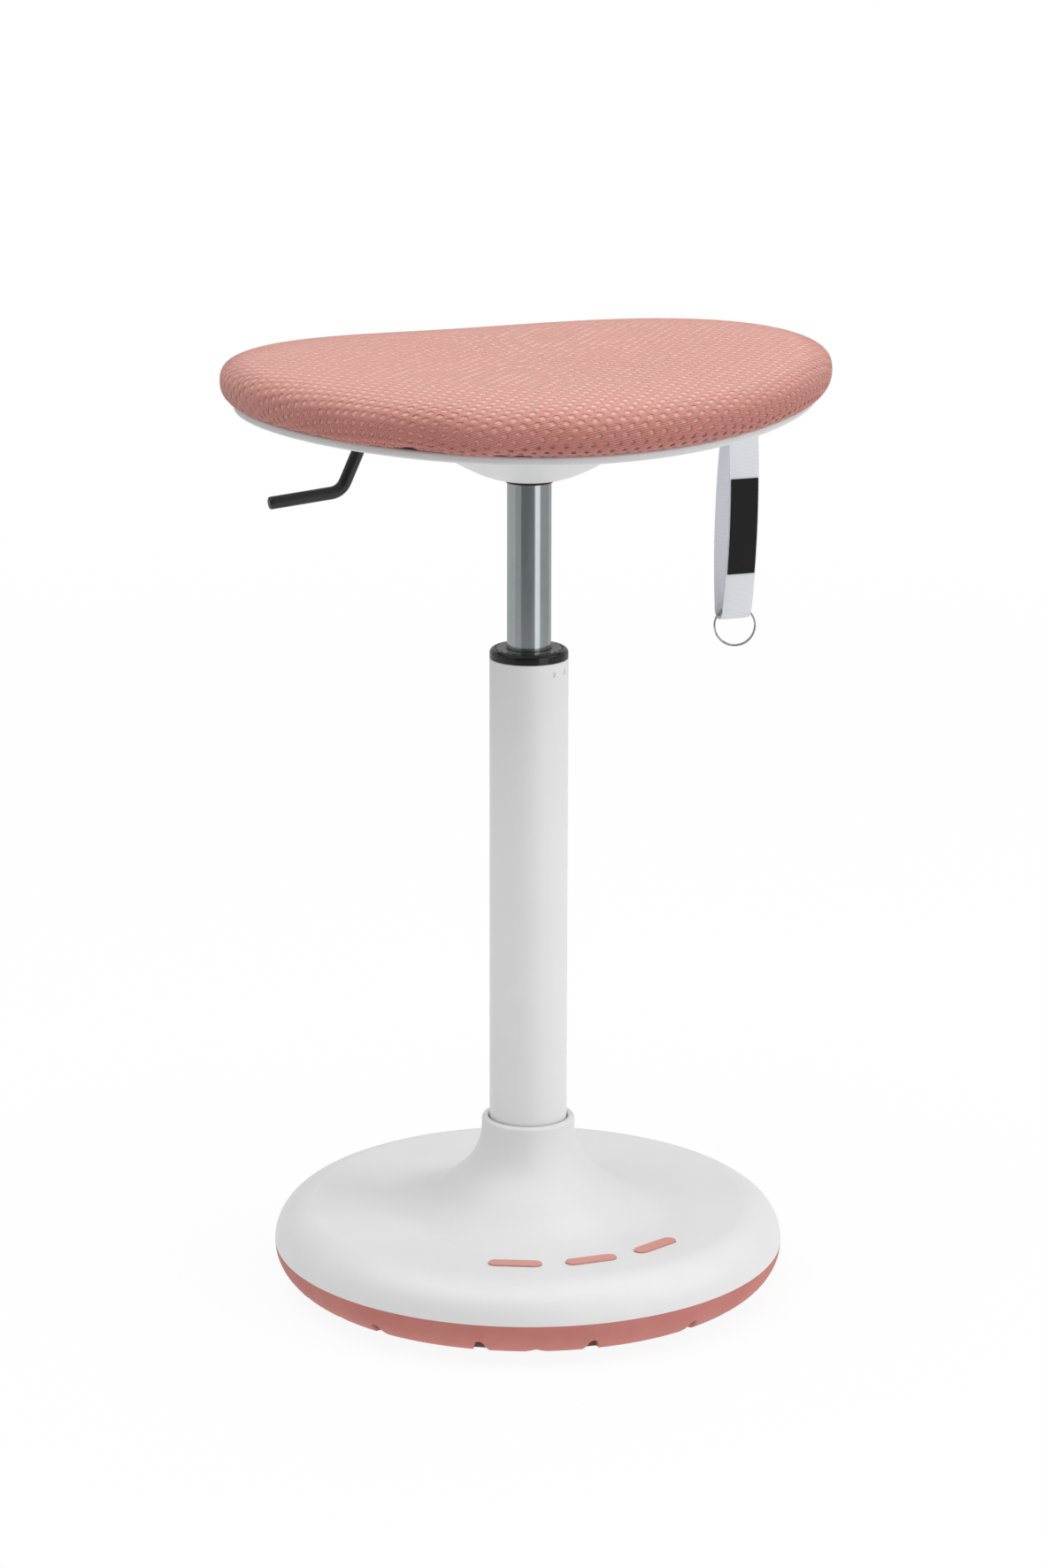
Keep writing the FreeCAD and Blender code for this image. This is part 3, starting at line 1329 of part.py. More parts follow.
def build_release_lever():
    """Bent rod with a rounded end and the pivot bar welded across it."""
    body = new_body("release_lever")
    profile = place_sketch(body, "lever_section", "YZ_Plane", "lever_inner_reach")
    draw_circle(profile, "0", LEVER_Z, "lever_radius")
    route = place_sketch(body, "lever_route", "XZ_Plane")
    draw_bent_line(route, [
        ("lever_inner_reach", LEVER_Z),
        ("0 - lever_knee", LEVER_Z),
        ("0 - lever_bend", f"{SEAT_Z} + lever_bend_lift"),
        ("0 - lever_tip", f"{SEAT_Z} + lever_tip_lift"),
    ], "lever_bend_radius")
    rod = body.newObject("PartDesign::AdditivePipe", "lever_rod")
    rod.Profile = profile
    rod.Spine = (route, [])
    round_edges(body, "lever_ends", "lever_end_round", lambda edge: len(edge.Vertexes) == 1
                and (edge.CenterOfMass.x < value("edge_break - lever_tip")
                     or edge.CenterOfMass.x > value("lever_inner_reach - edge_break")))
    extrude(body, "pivot_bar", "XZ_Plane", lambda sketch: draw_circle(
        sketch, "0 - pivot_offset", LEVER_Z, "pivot_radius"), "0",
        "2 * (pan_half_width + pivot_overhang)", symmetric=True)
    return finish(body)


# The carrying strap


def build_strap_bracket():
    """Bracket under the shell: a plate that follows the rim's curve, two ears and the bar between them."""
    body = new_body("strap_bracket")
    left = "(strap_offset - bracket_half_length)"
    right = "(strap_offset + bracket_half_length)"
    extrude(body, "bracket_plate", "XY_Plane", lambda sketch: trace(sketch, box_path(
        left, right, "0 - bracket_half_width", "bracket_half_width")),
        f"{RIM_BOTTOM} - cut_room", "2 * block_room")
    saddle_cut(body, "bracket_over", f"{RIM_BOTTOM} - fit_gap", above=True)
    saddle_cut(body, "bracket_under", f"{RIM_BOTTOM} - fit_gap - bracket_thickness", above=False)
    ear_foot = f"({BAR_Z} - ear_drop)"
    for name, start in (("inner_ear", left), ("outer_ear", f"({right} - bracket_thickness)")):
        ear_top = f"({saddle_height(RIM_BOTTOM, start)} - fit_gap - bracket_thickness / 2)"
        extrude(body, name, "YZ_Plane", lambda sketch: trace(sketch, [
            ("0 - ear_half_width", ear_top),
            ("0 - ear_half_width / 2", ear_foot),
            ("ear_half_width / 2", ear_foot),
            ("ear_half_width", ear_top),
        ]), start, "bracket_thickness")
    extrude(body, "bar", "YZ_Plane", lambda sketch: draw_circle(sketch, "0", BAR_Z, "bar_radius"),
            left, "2 * bracket_half_length")
    for side, name in (("1", "front_hole"), ("0 - 1", "rear_hole")):
        extrude(body, f"bracket_{name}", "XY_Plane", lambda sketch: draw_circle(
            sketch, "strap_offset", f"({side}) * bracket_screw_offset", "shell_screw_radius + hole_gap"),
            f"{RIM_BOTTOM} - cut_room", "2 * block_room", cut=True)
    return finish(body)


def build_bracket_screws():
    """Two screws up through the bracket and the shell into the board."""
    body = new_body("bracket_screws")
    shoulder = bracket_screw_shoulder()
    low = f"({shoulder} - shell_screw_head_height)"
    for side, name in (("1", "front"), ("0 - 1", "rear")):
        up = f"({side}) * bracket_screw_offset"
        extrude(body, f"{name}_head", "XY_Plane", lambda sketch: draw_circle(
            sketch, "strap_offset", up, "shell_screw_head_radius"), low, "shell_screw_head_height")
        extrude(body, f"{name}_shank", "XY_Plane", lambda sketch: draw_circle(
            sketch, "strap_offset", up, "shell_screw_radius"), shoulder, "bracket_screw_length")
    return finish(body)


BAR_FOLD = "(bar_radius + strap_bar_gap + strap_thickness / 2)"
LEG_DROP = ("((strap_drop^2 + (strap_fold_radius - " + BAR_FOLD + ") * (2 * strap_leg_radius - "
            + BAR_FOLD + " - strap_fold_radius)) / (2 * strap_drop))")
LEG_CENTRE = f"sqrt((strap_leg_radius - {BAR_FOLD})^2 - {LEG_DROP}^2)"


def strap_path(grow):
    """Give the strap's loop, its middle line moved out by a distance: two folds and two bowed legs."""
    leg = f"(strap_leg_radius + ({grow}))"
    top = f"({BAR_FOLD} + ({grow}))"
    bottom = f"(strap_fold_radius + ({grow}))"
    top_share = f"({leg} / (strap_leg_radius - {BAR_FOLD}))"
    bottom_share = f"({leg} / (strap_leg_radius - strap_fold_radius))"
    top_y = f"({LEG_CENTRE} * ({top_share} - 1))"
    top_z = f"({BAR_Z} - {LEG_DROP} + {LEG_DROP} * {top_share})"
    bottom_y = f"({LEG_CENTRE} * ({bottom_share} - 1))"
    bottom_z = f"({BAR_Z} - {LEG_DROP} - (strap_drop - {LEG_DROP}) * {bottom_share})"
    return [
        (f"0 - {bottom_y}", bottom_z, leg),
        ("0", f"{FOLD_Z} - {bottom}", bottom),
        (bottom_y, bottom_z, bottom),
        (top_y, top_z, leg),
        ("0", f"{BAR_Z} + {top}", top),
        (f"0 - {top_y}", top_z, top),
    ]


def build_carry_strap():
    """Webbing loop over the bracket's bar, bowed apart by its own stiffness and folded at the ring."""
    body = new_body("carry_strap")
    half = "strap_thickness / 2"
    extrude(body, "strap_block", "YZ_Plane", lambda sketch: trace(sketch, strap_path(half)),
            "strap_offset - strap_width / 2", "strap_width")
    extrude(body, "strap_loop", "YZ_Plane", lambda sketch: trace(sketch, strap_path(f"0 - {half}")),
            "strap_offset - strap_width / 2 - cut_room", "strap_width + 2 * cut_room", cut=True)
    return finish(body)


def leg_face(height, grow):
    """Give how far out the strap's leg stands at a height."""
    return f"(sqrt((strap_leg_radius + ({grow}))^2 - (({height}) - {BAR_Z} + {LEG_DROP})^2) - {LEG_CENTRE})"


def build_strap_label():
    """Woven label on the strap's front leg, curved with it."""
    body = new_body("strap_label")
    top = f"({BAR_Z} - label_drop)"
    foot = f"({top} - label_length)"
    near = "strap_thickness / 2 + fit_gap"
    far = f"{near} + label_thickness"
    extrude(body, "label_sheet", "YZ_Plane", lambda sketch: trace(sketch, [
        (f"0 - {leg_face(top, far)}", top),
        (f"0 - {leg_face(foot, far)}", foot, f"strap_leg_radius + {far}"),
        (f"0 - {leg_face(foot, near)}", foot),
        (f"0 - {leg_face(top, near)}", top, f"0 - (strap_leg_radius + {near})"),
    ]), "strap_offset - label_width / 2", "label_width")
    return finish(body)


def bend_wire(start, tangent, end, wire_radius):
    """Bend a round wire along the arc that leaves start along tangent and reaches end.

    It gives the wire's solid, the tangent at its end and points along its middle.
    """
    chord = end - start
    axis = tangent.cross(chord).normalize()
    inward = axis.cross(tangent)
    centre = start + inward * (chord.dot(chord) / (2 * chord.dot(inward)))
    angle = 2 * math.degrees(tangent.getAngle(chord))
    section = Part.Face(Part.Wire([Part.Circle(start, tangent, wire_radius).toShape()]))
    turns = [FreeCAD.Rotation(axis, angle * step / 100) for step in range(101)]
    points = [centre + turn.multVec(start - centre) for turn in turns]
    return section.revolve(centre, axis, angle), turns[-1].multVec(tangent), points


def build_split_ring():
    """Ring of two turns of wire side by side, one unbroken tube that steps over from turn to turn."""
    ring = document.addObject("Part::Feature", "split_ring")
    radius = value("ring_radius")
    wire_radius = value("ring_wire_radius")
    side = value("ring_pitch / 2")
    first = value("ring_start_angle")
    leave = first + 360 - value("ring_crossover")
    arrive = first + 360

    def point(angle, across):
        """Give the point of a turn at an angle in degrees."""
        return VECTOR(radius * math.cos(math.radians(angle)), across, radius * math.sin(math.radians(angle)))

    def heading(angle):
        """Give a turn's direction at an angle in degrees."""
        return VECTOR(-math.sin(math.radians(angle)), 0, math.cos(math.radians(angle)))

    gap = point(arrive, side) - point(leave, -side)
    along = heading(leave) + heading(arrive)
    spread = 2 * (1 - heading(leave).dot(heading(arrive)))
    handle = (math.sqrt(gap.dot(along) ** 2 + spread * gap.dot(gap)) - gap.dot(along)) / spread
    middle_point = (point(leave, -side) + point(arrive, side)
                    + (heading(leave) - heading(arrive)) * handle) * 0.5
    start = point(first, -side)
    tangent = heading(first)
    arcs = []
    middles = []
    for end in (point(leave, -side), middle_point, point(arrive, side), point(arrive + leave - first, side)):
        solid, tangent, points = bend_wire(start, tangent, end, wire_radius)
        arcs.append(solid)
        middles += points
        start = end
    ring.Shape = arcs[0].multiFuse(arcs[1:]).removeSplitter().Solids[0]
    middle = f"({FOLD_Z} - ring_hang)"
    ring.Placement = FreeCAD.Placement(VECTOR(value("strap_offset"), 0, value(middle)), FreeCAD.Rotation())
    bind(ring, "Placement.Base.x", "strap_offset")
    bind(ring, "Placement.Base.z", middle)
    least = min(near.distanceToPoint(far) for index, near in enumerate(middles)
                for far in middles[index + 101:])
    print(f"split ring: least gap between its turns {least - 2 * wire_radius:.2f} mm")
    return finish(ring)


def check_and_write():
    """Stop at any failed object or bad shape, then write each piece to its own file."""
    document.recompute()
    failed = [item.Name for item in document.Objects if {"Invalid", "Error"} & set(item.State)]
    bad = [item.Label for item in nodes if item.Shape.isNull() or not item.Shape.isValid()]
    if failed or bad:
        raise RuntimeError(f"failed objects {failed}, bad shapes {bad}")
    os.makedirs(PARTS_FOLDER, exist_ok=True)
    for item in nodes:
        item.Shape.exportStep(os.path.join(PARTS_FOLDER, f"{item.Label}.step"))
        solids = len(item.Shape.Solids)
        print(f"{item.Label}: {solids} solid(s), {item.Shape.Volume / 1000:.2f} cm3")


fill_sheet()
for build in (
    build_rubber_sole,
    build_base_plate,
    build_ballast_ring,
    build_base_cover,
    build_cover_inlays,
    build_cover_screws,
    build_column_socket,
    build_column_tube,
    build_column_end_plate,
    build_guide_bush,
    build_lower_bearing_washer,
    build_piston_rod,
    build_retaining_clip,
    build_bearing_balls,
    build_ball_cage,
    build_upper_bearing_washer,
    build_rubber_bumper,
    build_piston,
    build_piston_ring,
    build_pressure_tube,
    build_inner_cylinder,
    build_rod_guide,
    build_valve_body,
    build_release_pin,
    build_dust_ring,
    build_cone_socket,
    build_lift_housing,
    build_mounting_plate,
    build_plate_bolts,
    build_tee_nuts,
    build_seat_board,
    build_seat_foam,
    build_seat_cover,
    build_seat_shell,
    build_shell_screws,
    build_release_lever,
    build_strap_bracket,
    build_bracket_screws,
    build_carry_strap,
    build_strap_label,
    build_split_ring,
):
    build()
check_and_write()
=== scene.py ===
"""Wobble stool: soft parts, finishes, studio and camera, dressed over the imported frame."""

import logging
import math
from collections.abc import Iterable, Sequence
from dataclasses import dataclass
from enum import Enum

import bmesh
import bpy
import numpy as np
from mathutils import Matrix, Vector


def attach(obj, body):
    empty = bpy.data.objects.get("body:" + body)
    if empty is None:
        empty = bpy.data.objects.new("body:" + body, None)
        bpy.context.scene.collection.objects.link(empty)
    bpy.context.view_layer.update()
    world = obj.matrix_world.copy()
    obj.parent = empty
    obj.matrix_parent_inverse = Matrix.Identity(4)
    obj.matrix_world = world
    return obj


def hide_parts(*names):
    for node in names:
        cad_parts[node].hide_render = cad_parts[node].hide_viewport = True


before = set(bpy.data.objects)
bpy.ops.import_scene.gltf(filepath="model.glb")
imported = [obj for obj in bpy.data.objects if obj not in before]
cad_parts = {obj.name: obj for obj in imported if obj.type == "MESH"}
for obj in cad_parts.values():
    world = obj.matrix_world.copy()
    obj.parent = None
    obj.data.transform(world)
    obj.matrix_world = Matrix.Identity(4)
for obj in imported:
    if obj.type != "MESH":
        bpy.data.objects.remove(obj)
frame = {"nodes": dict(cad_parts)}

LOG = logging.getLogger("wobble_stool")
MM = 0.001
WELD = 0.01 * MM
CLOTH_MAP = "cloth"
WEAVE_MAP = "weave"
QUARTER = math.pi / 2
NOISE_RANGE = (0.3, 0.7)
Piece = bpy.types.Object
Socket = bpy.types.NodeSocket
Point = tuple[float, float, float]
Ring = tuple[np.ndarray | float, np.ndarray | float]


def linear(hex_code: str) -> tuple[float, float, float, float]:
    """Turn an sRGB hex colour into linear RGBA.

    Args:
        hex_code: six hex digits, as "d89a8f".

    Returns:
        The colour with linear channels and full alpha.
    """
    channels = [int(hex_code[index:index + 2], 16) / 255 for index in (0, 2, 4)]
    red, green, blue = (
        channel / 12.92 if channel <= 0.04045 else ((channel + 0.055) / 1.055) ** 2.4
        for channel in channels)
    return red, green, blue, 1.0


def deselect() -> None:
    """Deselect every object."""
    for item in bpy.context.selected_objects:
        item.select_set(False)


def activate(piece: Piece) -> None:
    """Select one object alone and make it the active one."""
    deselect()
    piece.select_set(True)
    bpy.context.view_layer.objects.active = piece


class Shader:
    """Node tree of one material: its Principled shader and the nodes that feed it."""

    def __init__(self, name: str, **constants: object) -> None:
        """Make the material.

        Args:
            name: the material's name.
            constants: values for the shader's own sockets, with _ for each space.
        """
        self.material = bpy.data.materials.new(name)
        self.material.use_nodes = True
        self.tree = self.material.node_tree
        self.shader = self.tree.nodes["Principled BSDF"]
        for key, setting in constants.items():
            self.shader.inputs[key.replace("_", " ")].default_value = setting

    def add(self, kind: str, links: dict[str | int, object] | None = None,
            **settings: object) -> bpy.types.Node:
        """Add a node with its settings and inputs.

        Args:
            kind: the node's type.
            links: an output socket or a value for each named or numbered input.
            settings: the node's own properties.

        Returns:
            The new node.
        """
        node = self.tree.nodes.new(kind)
        for key, setting in settings.items():
            setattr(node, key, setting)
        for key, source in (links or {}).items():
            if isinstance(source, bpy.types.NodeSocket):
                self.tree.links.new(source, node.inputs[key])
            else:
                node.inputs[key].default_value = source
        return node

    def feed(self, name: str, source: Socket) -> None:
        """Link a node's output to one of the shader's inputs."""
        self.tree.links.new(source, self.shader.inputs[name])

    def maths(self, operation: str, first: object, second: object = 0.0) -> Socket:
        """Add one step of arithmetic on sockets or numbers."""
        return self.add("ShaderNodeMath", {0: first, 1: second}, operation=operation).outputs[0]

    def place(self, scale: Point = (1.0, 1.0, 1.0), turn: Point = (0.0, 0.0, 0.0),
              uv: str = "") -> Socket:
        """Give the place that a pattern reads, in metres times scale.

        Args:
            scale: factor along each axis.
            turn: turn about each axis in radians.
            uv: name of a UV map to read, or nothing for Object coordinates.

        Returns:
            The socket with the coordinates.
        """
        if uv:
            source = self.add("ShaderNodeUVMap", uv_map=uv).outputs["UV"]
        else:
            source = self.add("ShaderNodeTexCoord").outputs["Object"]
        mapping = self.add("ShaderNodeMapping", {
            "Vector": source, "Scale": scale, "Rotation": turn})
        return mapping.outputs["Vector"]

    def blend_colours(self, factor: Socket, low: str | Socket, high: str | Socket) -> Socket:
        """Mix two colours, each a hex code or an output, by a factor."""
        ends = [linear(end) if isinstance(end, str) else end for end in (low, high)]
        mix = self.add("ShaderNodeMix", {"Factor": factor, 6: ends[0], 7: ends[1]},
                       data_type="RGBA")
        return mix.outputs[2]

    def spread(self, source: Socket, low: float, high: float, to_low: float = 0.0,
               to_high: float = 1.0, curve: str = "LINEAR") -> Socket:
        """Map a range of a value onto another range, held at its ends."""
        node = self.add("ShaderNodeMapRange", {
            "Value": source, "From Min": low, "From Max": high, "To Min": to_low,
            "To Max": to_high}, interpolation_type=curve)
        return node.outputs["Result"]

    def bump(self, height: Socket, distance: float, strength: float = 1.0,
             under: Socket | None = None) -> Socket:
        """Turn a height into a normal.

        Args:
            height: the height, 0 to 1.
            distance: its depth in millimetres.
            strength: how much of it shows.
            under: a normal that it lies on.

        Returns:
            The socket with the normal.
        """
        links: dict[str | int, object] = {
            "Height": height, "Distance": distance * MM, "Strength": strength}
        if under is not None:
            links["Normal"] = under
        return self.add("ShaderNodeBump", links).outputs["Normal"]

    def speckle(self, grain: float, detail: float = 3.0,
                stretch: Point = (1.0, 1.0, 1.0)) -> Socket:
        """Give noise whose grains have a size in millimetres."""
        scale = tuple(factor / (grain * MM) for factor in stretch)
        noise = self.add("ShaderNodeTexNoise", {
            "Vector": self.place(scale), "Scale": 1.0, "Detail": detail, "Roughness": 0.55})
        return noise.outputs["Fac"]

    def bands(self, step: float, axis: str, distortion: float, turn: float = 0.0,
              detail: float = 2.0) -> Socket:
        """Give soft bands over the map of a weave.

        Args:
            step: the scale of the bands in millimetres.
            axis: "X" for bands across the length, "Y" for bands across the width.
            distortion: how much they waver.
            turn: turn of the map in radians.
            detail: octaves of the wavering.

        Returns:
            The socket with the height, 0 to 1.
        """
        place = self.place((1 / (step * MM),) * 3, (0.0, 0.0, turn), WEAVE_MAP)
        wave = self.add("ShaderNodeTexWave", {
            "Vector": place, "Scale": 0.5, "Distortion": distortion, "Detail": detail},
            wave_type="BANDS", bands_direction=axis, wave_profile="SIN")
        return wave.outputs["Fac"]


class Along(Enum):
    """Direction that a machined or drawn surface's lines follow."""

    LENGTH = (1.0, 1.0, 0.02)
    ROUND = (0.02, 0.02, 1.0)
    NONE = (1.0, 1.0, 1.0)


@dataclass(frozen=True)
class Grained:
    """Two close colours in soft clouds, under a fine grain in sheen and relief.

    grain, depth and cloud are in millimetres; play is how far the roughness moves either way.
    """

    name: str
    colour: str
    shade: str
    roughness: float
    grain: float = 0.5
    depth: float = 0.012
    cloud: float = 38.0
    cloud_detail: float = 4.0
    grain_detail: float = 3.0
    relief: float = 0.5
    play: tuple[float, float] = (-0.03, 0.04)
    along: Along = Along.NONE
    index: float = 1.5

    def constants(self) -> dict[str, float]:
        """Give the values of the shader's own sockets."""
        return {"IOR": self.index}

    def tint(self, shader: Shader) -> Socket:
        """Give the colour."""
        noise = shader.speckle(self.cloud, self.cloud_detail)
        return shader.blend_colours(
            shader.spread(noise, *NOISE_RANGE), self.shade, self.colour)

    def build(self) -> bpy.types.Material:
        """Make the material."""
        shader = Shader(self.name, **self.constants())
        shader.feed("Base Color", self.tint(shader))
        grain = shader.speckle(self.grain, self.grain_detail, self.along.value)
        low, high = self.play
        shader.feed("Roughness", shader.spread(
            grain, *NOISE_RANGE, self.roughness + low, self.roughness + high))
        if self.depth:
            shader.feed("Normal", shader.bump(grain, self.depth, self.relief))
        return shader.material


@dataclass(frozen=True)
class MouldedPlastic(Grained):
    """Injection-moulded plastic: a fine spark-eroded grain and a soft sheen."""


@dataclass(frozen=True)
class PowderCoat(Grained):
    """Baked powder coat on steel: a very shallow orange peel under a satin skin."""

    grain: float = 1.6
    depth: float = 0.02
    cloud: float = 60.0
    cloud_detail: float = 3.0
    grain_detail: float = 2.0
    relief: float = 0.35
    play: tuple[float, float] = (-0.02, 0.03)
    index: float = 1.52


@dataclass(frozen=True)
class MouldedRubber(Grained):
    """Compression-moulded rubber: matt, with faint mottling; cuts in an edge are darkened inside
    with painted shade.

    cuts holds the radius, the bend and the top height of the rounded edge that is cut into.
    """

    roughness: float = 0.7
    grain: float = 0.7
    depth: float = 0.03
    cloud: float = 24.0
    cloud_detail: float = 5.0
    relief: float = 0.4
    play: tuple[float, float] = (-0.08, 0.08)
    cuts: tuple[float, float, float] | None = None
    # painted shade: the colour of the cuts' insides, and the depths over which it comes in
    slot_shade: str = "6b3d3e"
    slot_shade_start: float = 0.3
    slot_shade_full: float = 5.0

    def inside(self, shader: Shader) -> Socket:
        """Give 0 on the rounded outer edge, and up to 1 deep in what is cut into it."""
        radius, bend, height = (size * MM for size in self.cuts)
        parts = shader.add("ShaderNodeSeparateXYZ", {0: shader.place()})
        drop = shader.maths("SUBTRACT", height, parts.outputs["Z"])
        rest = shader.maths("SUBTRACT", bend ** 2, shader.maths("MULTIPLY", drop, drop))
        edge = shader.maths("ADD", shader.maths("POWER", rest, 0.5), radius - bend)
        flat = shader.add("ShaderNodeVectorMath", {0: shader.place(scale=(1.0, 1.0, 0.0))},
                          operation="LENGTH")
        depth = shader.maths("SUBTRACT", edge, flat.outputs["Value"])
        return shader.spread(depth, self.slot_shade_start * MM, self.slot_shade_full * MM)

    def tint(self, shader: Shader) -> Socket:
        """Give the colour, with painted shade darkening the insides of the cuts."""
        colour = super().tint(shader)
        if self.cuts is None:
            return colour
        # painted shade darkens the insides of the cuts
        return shader.blend_colours(self.inside(shader), colour, self.slot_shade)


@dataclass(frozen=True)
class WorkedMetal(Grained):
    """Bare or plated metal whose fine lines follow the way that it was drawn or turned."""

    cloud: float = 9.0
    cloud_detail: float = 3.0
    grain_detail: float = 4.0
    relief: float = 0.4

    def constants(self) -> dict[str, float]:
        """Give the values of the shader's own sockets; metal keeps its default IOR."""
        return {"Metallic": 1.0}


def metal(name: str, colour: str, shade: str, roughness: float, line: float, depth: float,
          along: Along = Along.NONE) -> WorkedMetal:
    """Describe one metal whose roughness moves by a share of itself."""
    return WorkedMetal(name, colour, shade, roughness, line, depth, along=along,
                       play=(-0.15 * roughness, 0.2 * roughness))


@dataclass(frozen=True)
class PressedPlywood:
    """Beech veneers, hot-pressed: long pale grain with small dark flecks."""

    name: str = "pressed_beech_plywood"
    colour: str = "d3b189"
    shade: str = "b98f62"
    grain: float = 2.2
    fleck: float = 0.9
    mixed: tuple[float, float] = (0.12, 0.4)
    depth: float = 0.05

    def build(self) -> bpy.types.Material:
        """Make the material."""
        shader = Shader(self.name, IOR=1.5, Roughness=0.6)
        grain = shader.speckle(self.grain, 5.0, (0.06, 1.0, 1.0))
        both = shader.maths("MULTIPLY", grain, shader.speckle(self.fleck, 2.0, (0.15, 1.0, 1.0)))
        shader.feed("Base Color", shader.blend_colours(
            shader.spread(both, *self.mixed), self.shade, self.colour))
        shader.feed("Normal", shader.bump(grain, self.depth, 0.4))
        return shader.material


@dataclass(frozen=True)
class CutFoam:
    """Cut polyurethane foam: open cells about a millimetre across."""

    name: str = "cut_seat_foam"
    colour: str = "efe6c6"
    shade: str = "c9bd94"
    cell: float = 1.1
    mixed: tuple[float, float] = (0.1, 0.6)
    depth: float = 0.3

    def build(self) -> bpy.types.Material:
        """Make the material."""
        shader = Shader(self.name, IOR=1.45, Roughness=0.9)
        cells = shader.add("ShaderNodeTexVoronoi", {
            "Vector": shader.place(), "Scale": 1 / (self.cell * MM)}).outputs["Distance"]
        shader.feed("Base Color", shader.blend_colours(
            shader.spread(cells, *self.mixed), self.shade, self.colour))
        shader.feed("Normal", shader.bump(cells, self.depth, 0.7))
        return shader.material


@dataclass(frozen=True)
class SpacerMesh:
    """Knitted three-dimensional polyester mesh: rows of staggered oval dimples, ribbed face.

    Two attributes of the cushion steer it: near_edge is 1 at the rim, where the ribs show, the
    dimples are drawn small and the cloth is darkened with painted shade, and see_through is 1
    where the dimples' holes are painted dark as the shade inside them. The dimples on the top
    carry a painted highlight, and the grooves between the ribs painted shade. A band is the part
    of such an attribute over which a change takes place. The pairs of grooved, lit and ribbed
    are shares on the top and at the rim. A real thread is too fine to show, so the ribs are
    drawn 1.4 mm apart.
    """

    name: str = "salmon_spacer_mesh"
    colour: str = "d0958a"
    # painted shade: the darker, more saturated colour that the sides take towards the rim
    shade: str = "c98278"
    # painted shade in the grooves between the ribs
    rib_shade: str = "95524d"
    # painted highlight on the dimples, strongest on the top
    dimple_highlight: str = "e5bab0"
    # painted shade inside the dimples' holes
    hole_shade: str = "6e524e"
    sheen: str = "ffeee8"
    pitch: float = 8.8
    row: float = 5.1
    half_width: float = 2.7
    half_height: float = 2.3
    shrink: float = 2.0
    shrink_band: tuple[float, float] = (0.3, 0.8)
    wall: tuple[float, float] = (0.15, 1.15)
    rib: float = 1.4
    rib_turn: float = 10.0
    dimple_depth: float = 0.9
    rib_depth: float = 0.3
    knit: float = 1.5
    knit_depth: float = 0.45
    edge_band: tuple[float, float] = (0.0, 0.5)
    shade_band: tuple[float, float] = (0.1, 0.8)
    hole_band: tuple[float, float] = (0.2, 1.0)
    grooved: tuple[float, float] = (0.1, 0.62)
    lit: tuple[float, float] = (0.85, 0.32)
    ribbed: tuple[float, float] = (0.2, 1.0)
    hole_share: float = 0.9

    def dimple_field(self, shader: Shader, place: Socket, edge: Socket) -> Socket:
        """Give the staggered dimples' depth, 0 to 1, from the cloth's flat place in metres."""
        maths = shader.maths
        parts = shader.add("ShaderNodeSeparateXYZ", {0: place})
        across = maths("DIVIDE", parts.outputs["X"], self.pitch * MM)
        row = maths("DIVIDE", parts.outputs["Y"], self.row * MM)
        line = maths("ROUND", row)
        shift = maths("MULTIPLY", maths("FLOORED_MODULO", line, 2.0), 0.5)
        column = maths("SUBTRACT", across, shift)
        offset = maths("MULTIPLY", maths("SUBTRACT", column, maths("ROUND", column)),
                       self.pitch / self.half_width)
        rise = maths("MULTIPLY", maths("SUBTRACT", row, line), self.row / self.half_height)
        reach = maths("ADD", maths("MULTIPLY", offset, offset), maths("MULTIPLY", rise, rise))
        size = shader.spread(edge, *self.shrink_band, 1.0, self.shrink)
        return shader.spread(maths("MULTIPLY", reach, size), *self.wall, 1.0, 0.0, "SMOOTHSTEP")

    def thread_height(self, shader: Shader) -> Socket:
        """Give the height of the ribs, 0 to 1."""
        turn = math.radians(self.rib_turn)
        step = 2 * math.pi / (self.rib * MM)
        phase = shader.add("ShaderNodeVectorMath", {
            0: shader.place(uv=CLOTH_MAP), 1: (-math.sin(turn) * step, math.cos(turn) * step, 0.0)},
            operation="DOT_PRODUCT").outputs["Value"]
        return shader.spread(shader.maths("SINE", phase), -1.0, 1.0)

    def build(self) -> bpy.types.Material:
        """Make the material from the map of the cloth's flat places in metres."""
        shader = Shader(self.name, IOR=1.46, Roughness=0.8, Specular_IOR_Level=0.25,
                        Sheen_Weight=0.45, Sheen_Roughness=0.35, Sheen_Tint=linear(self.sheen))
        edge, holes = (shader.add("ShaderNodeAttribute", attribute_name=name).outputs["Fac"]
                       for name in ("near_edge", "see_through"))
        dent = self.dimple_field(shader, shader.place(uv=CLOTH_MAP), edge)
        thread = self.thread_height(shader)
        # painted shade in the grooves between the ribs, stronger near the rim
        groove_shade = shader.maths("MULTIPLY", shader.spread(thread, 0.0, 1.0, 1.0, 0.0),
                               shader.spread(edge, *self.edge_band, *self.grooved))
        # painted highlight on the dimples, stronger on the top than at the rim
        lit = shader.maths("MULTIPLY", dent, shader.spread(edge, *self.edge_band, *self.lit))
        # painted shade: dark holes where the see_through attribute is set
        shaded_holes = shader.maths(
            "MULTIPLY", dent, shader.spread(holes, *self.hole_band, 0.0, self.hole_share))
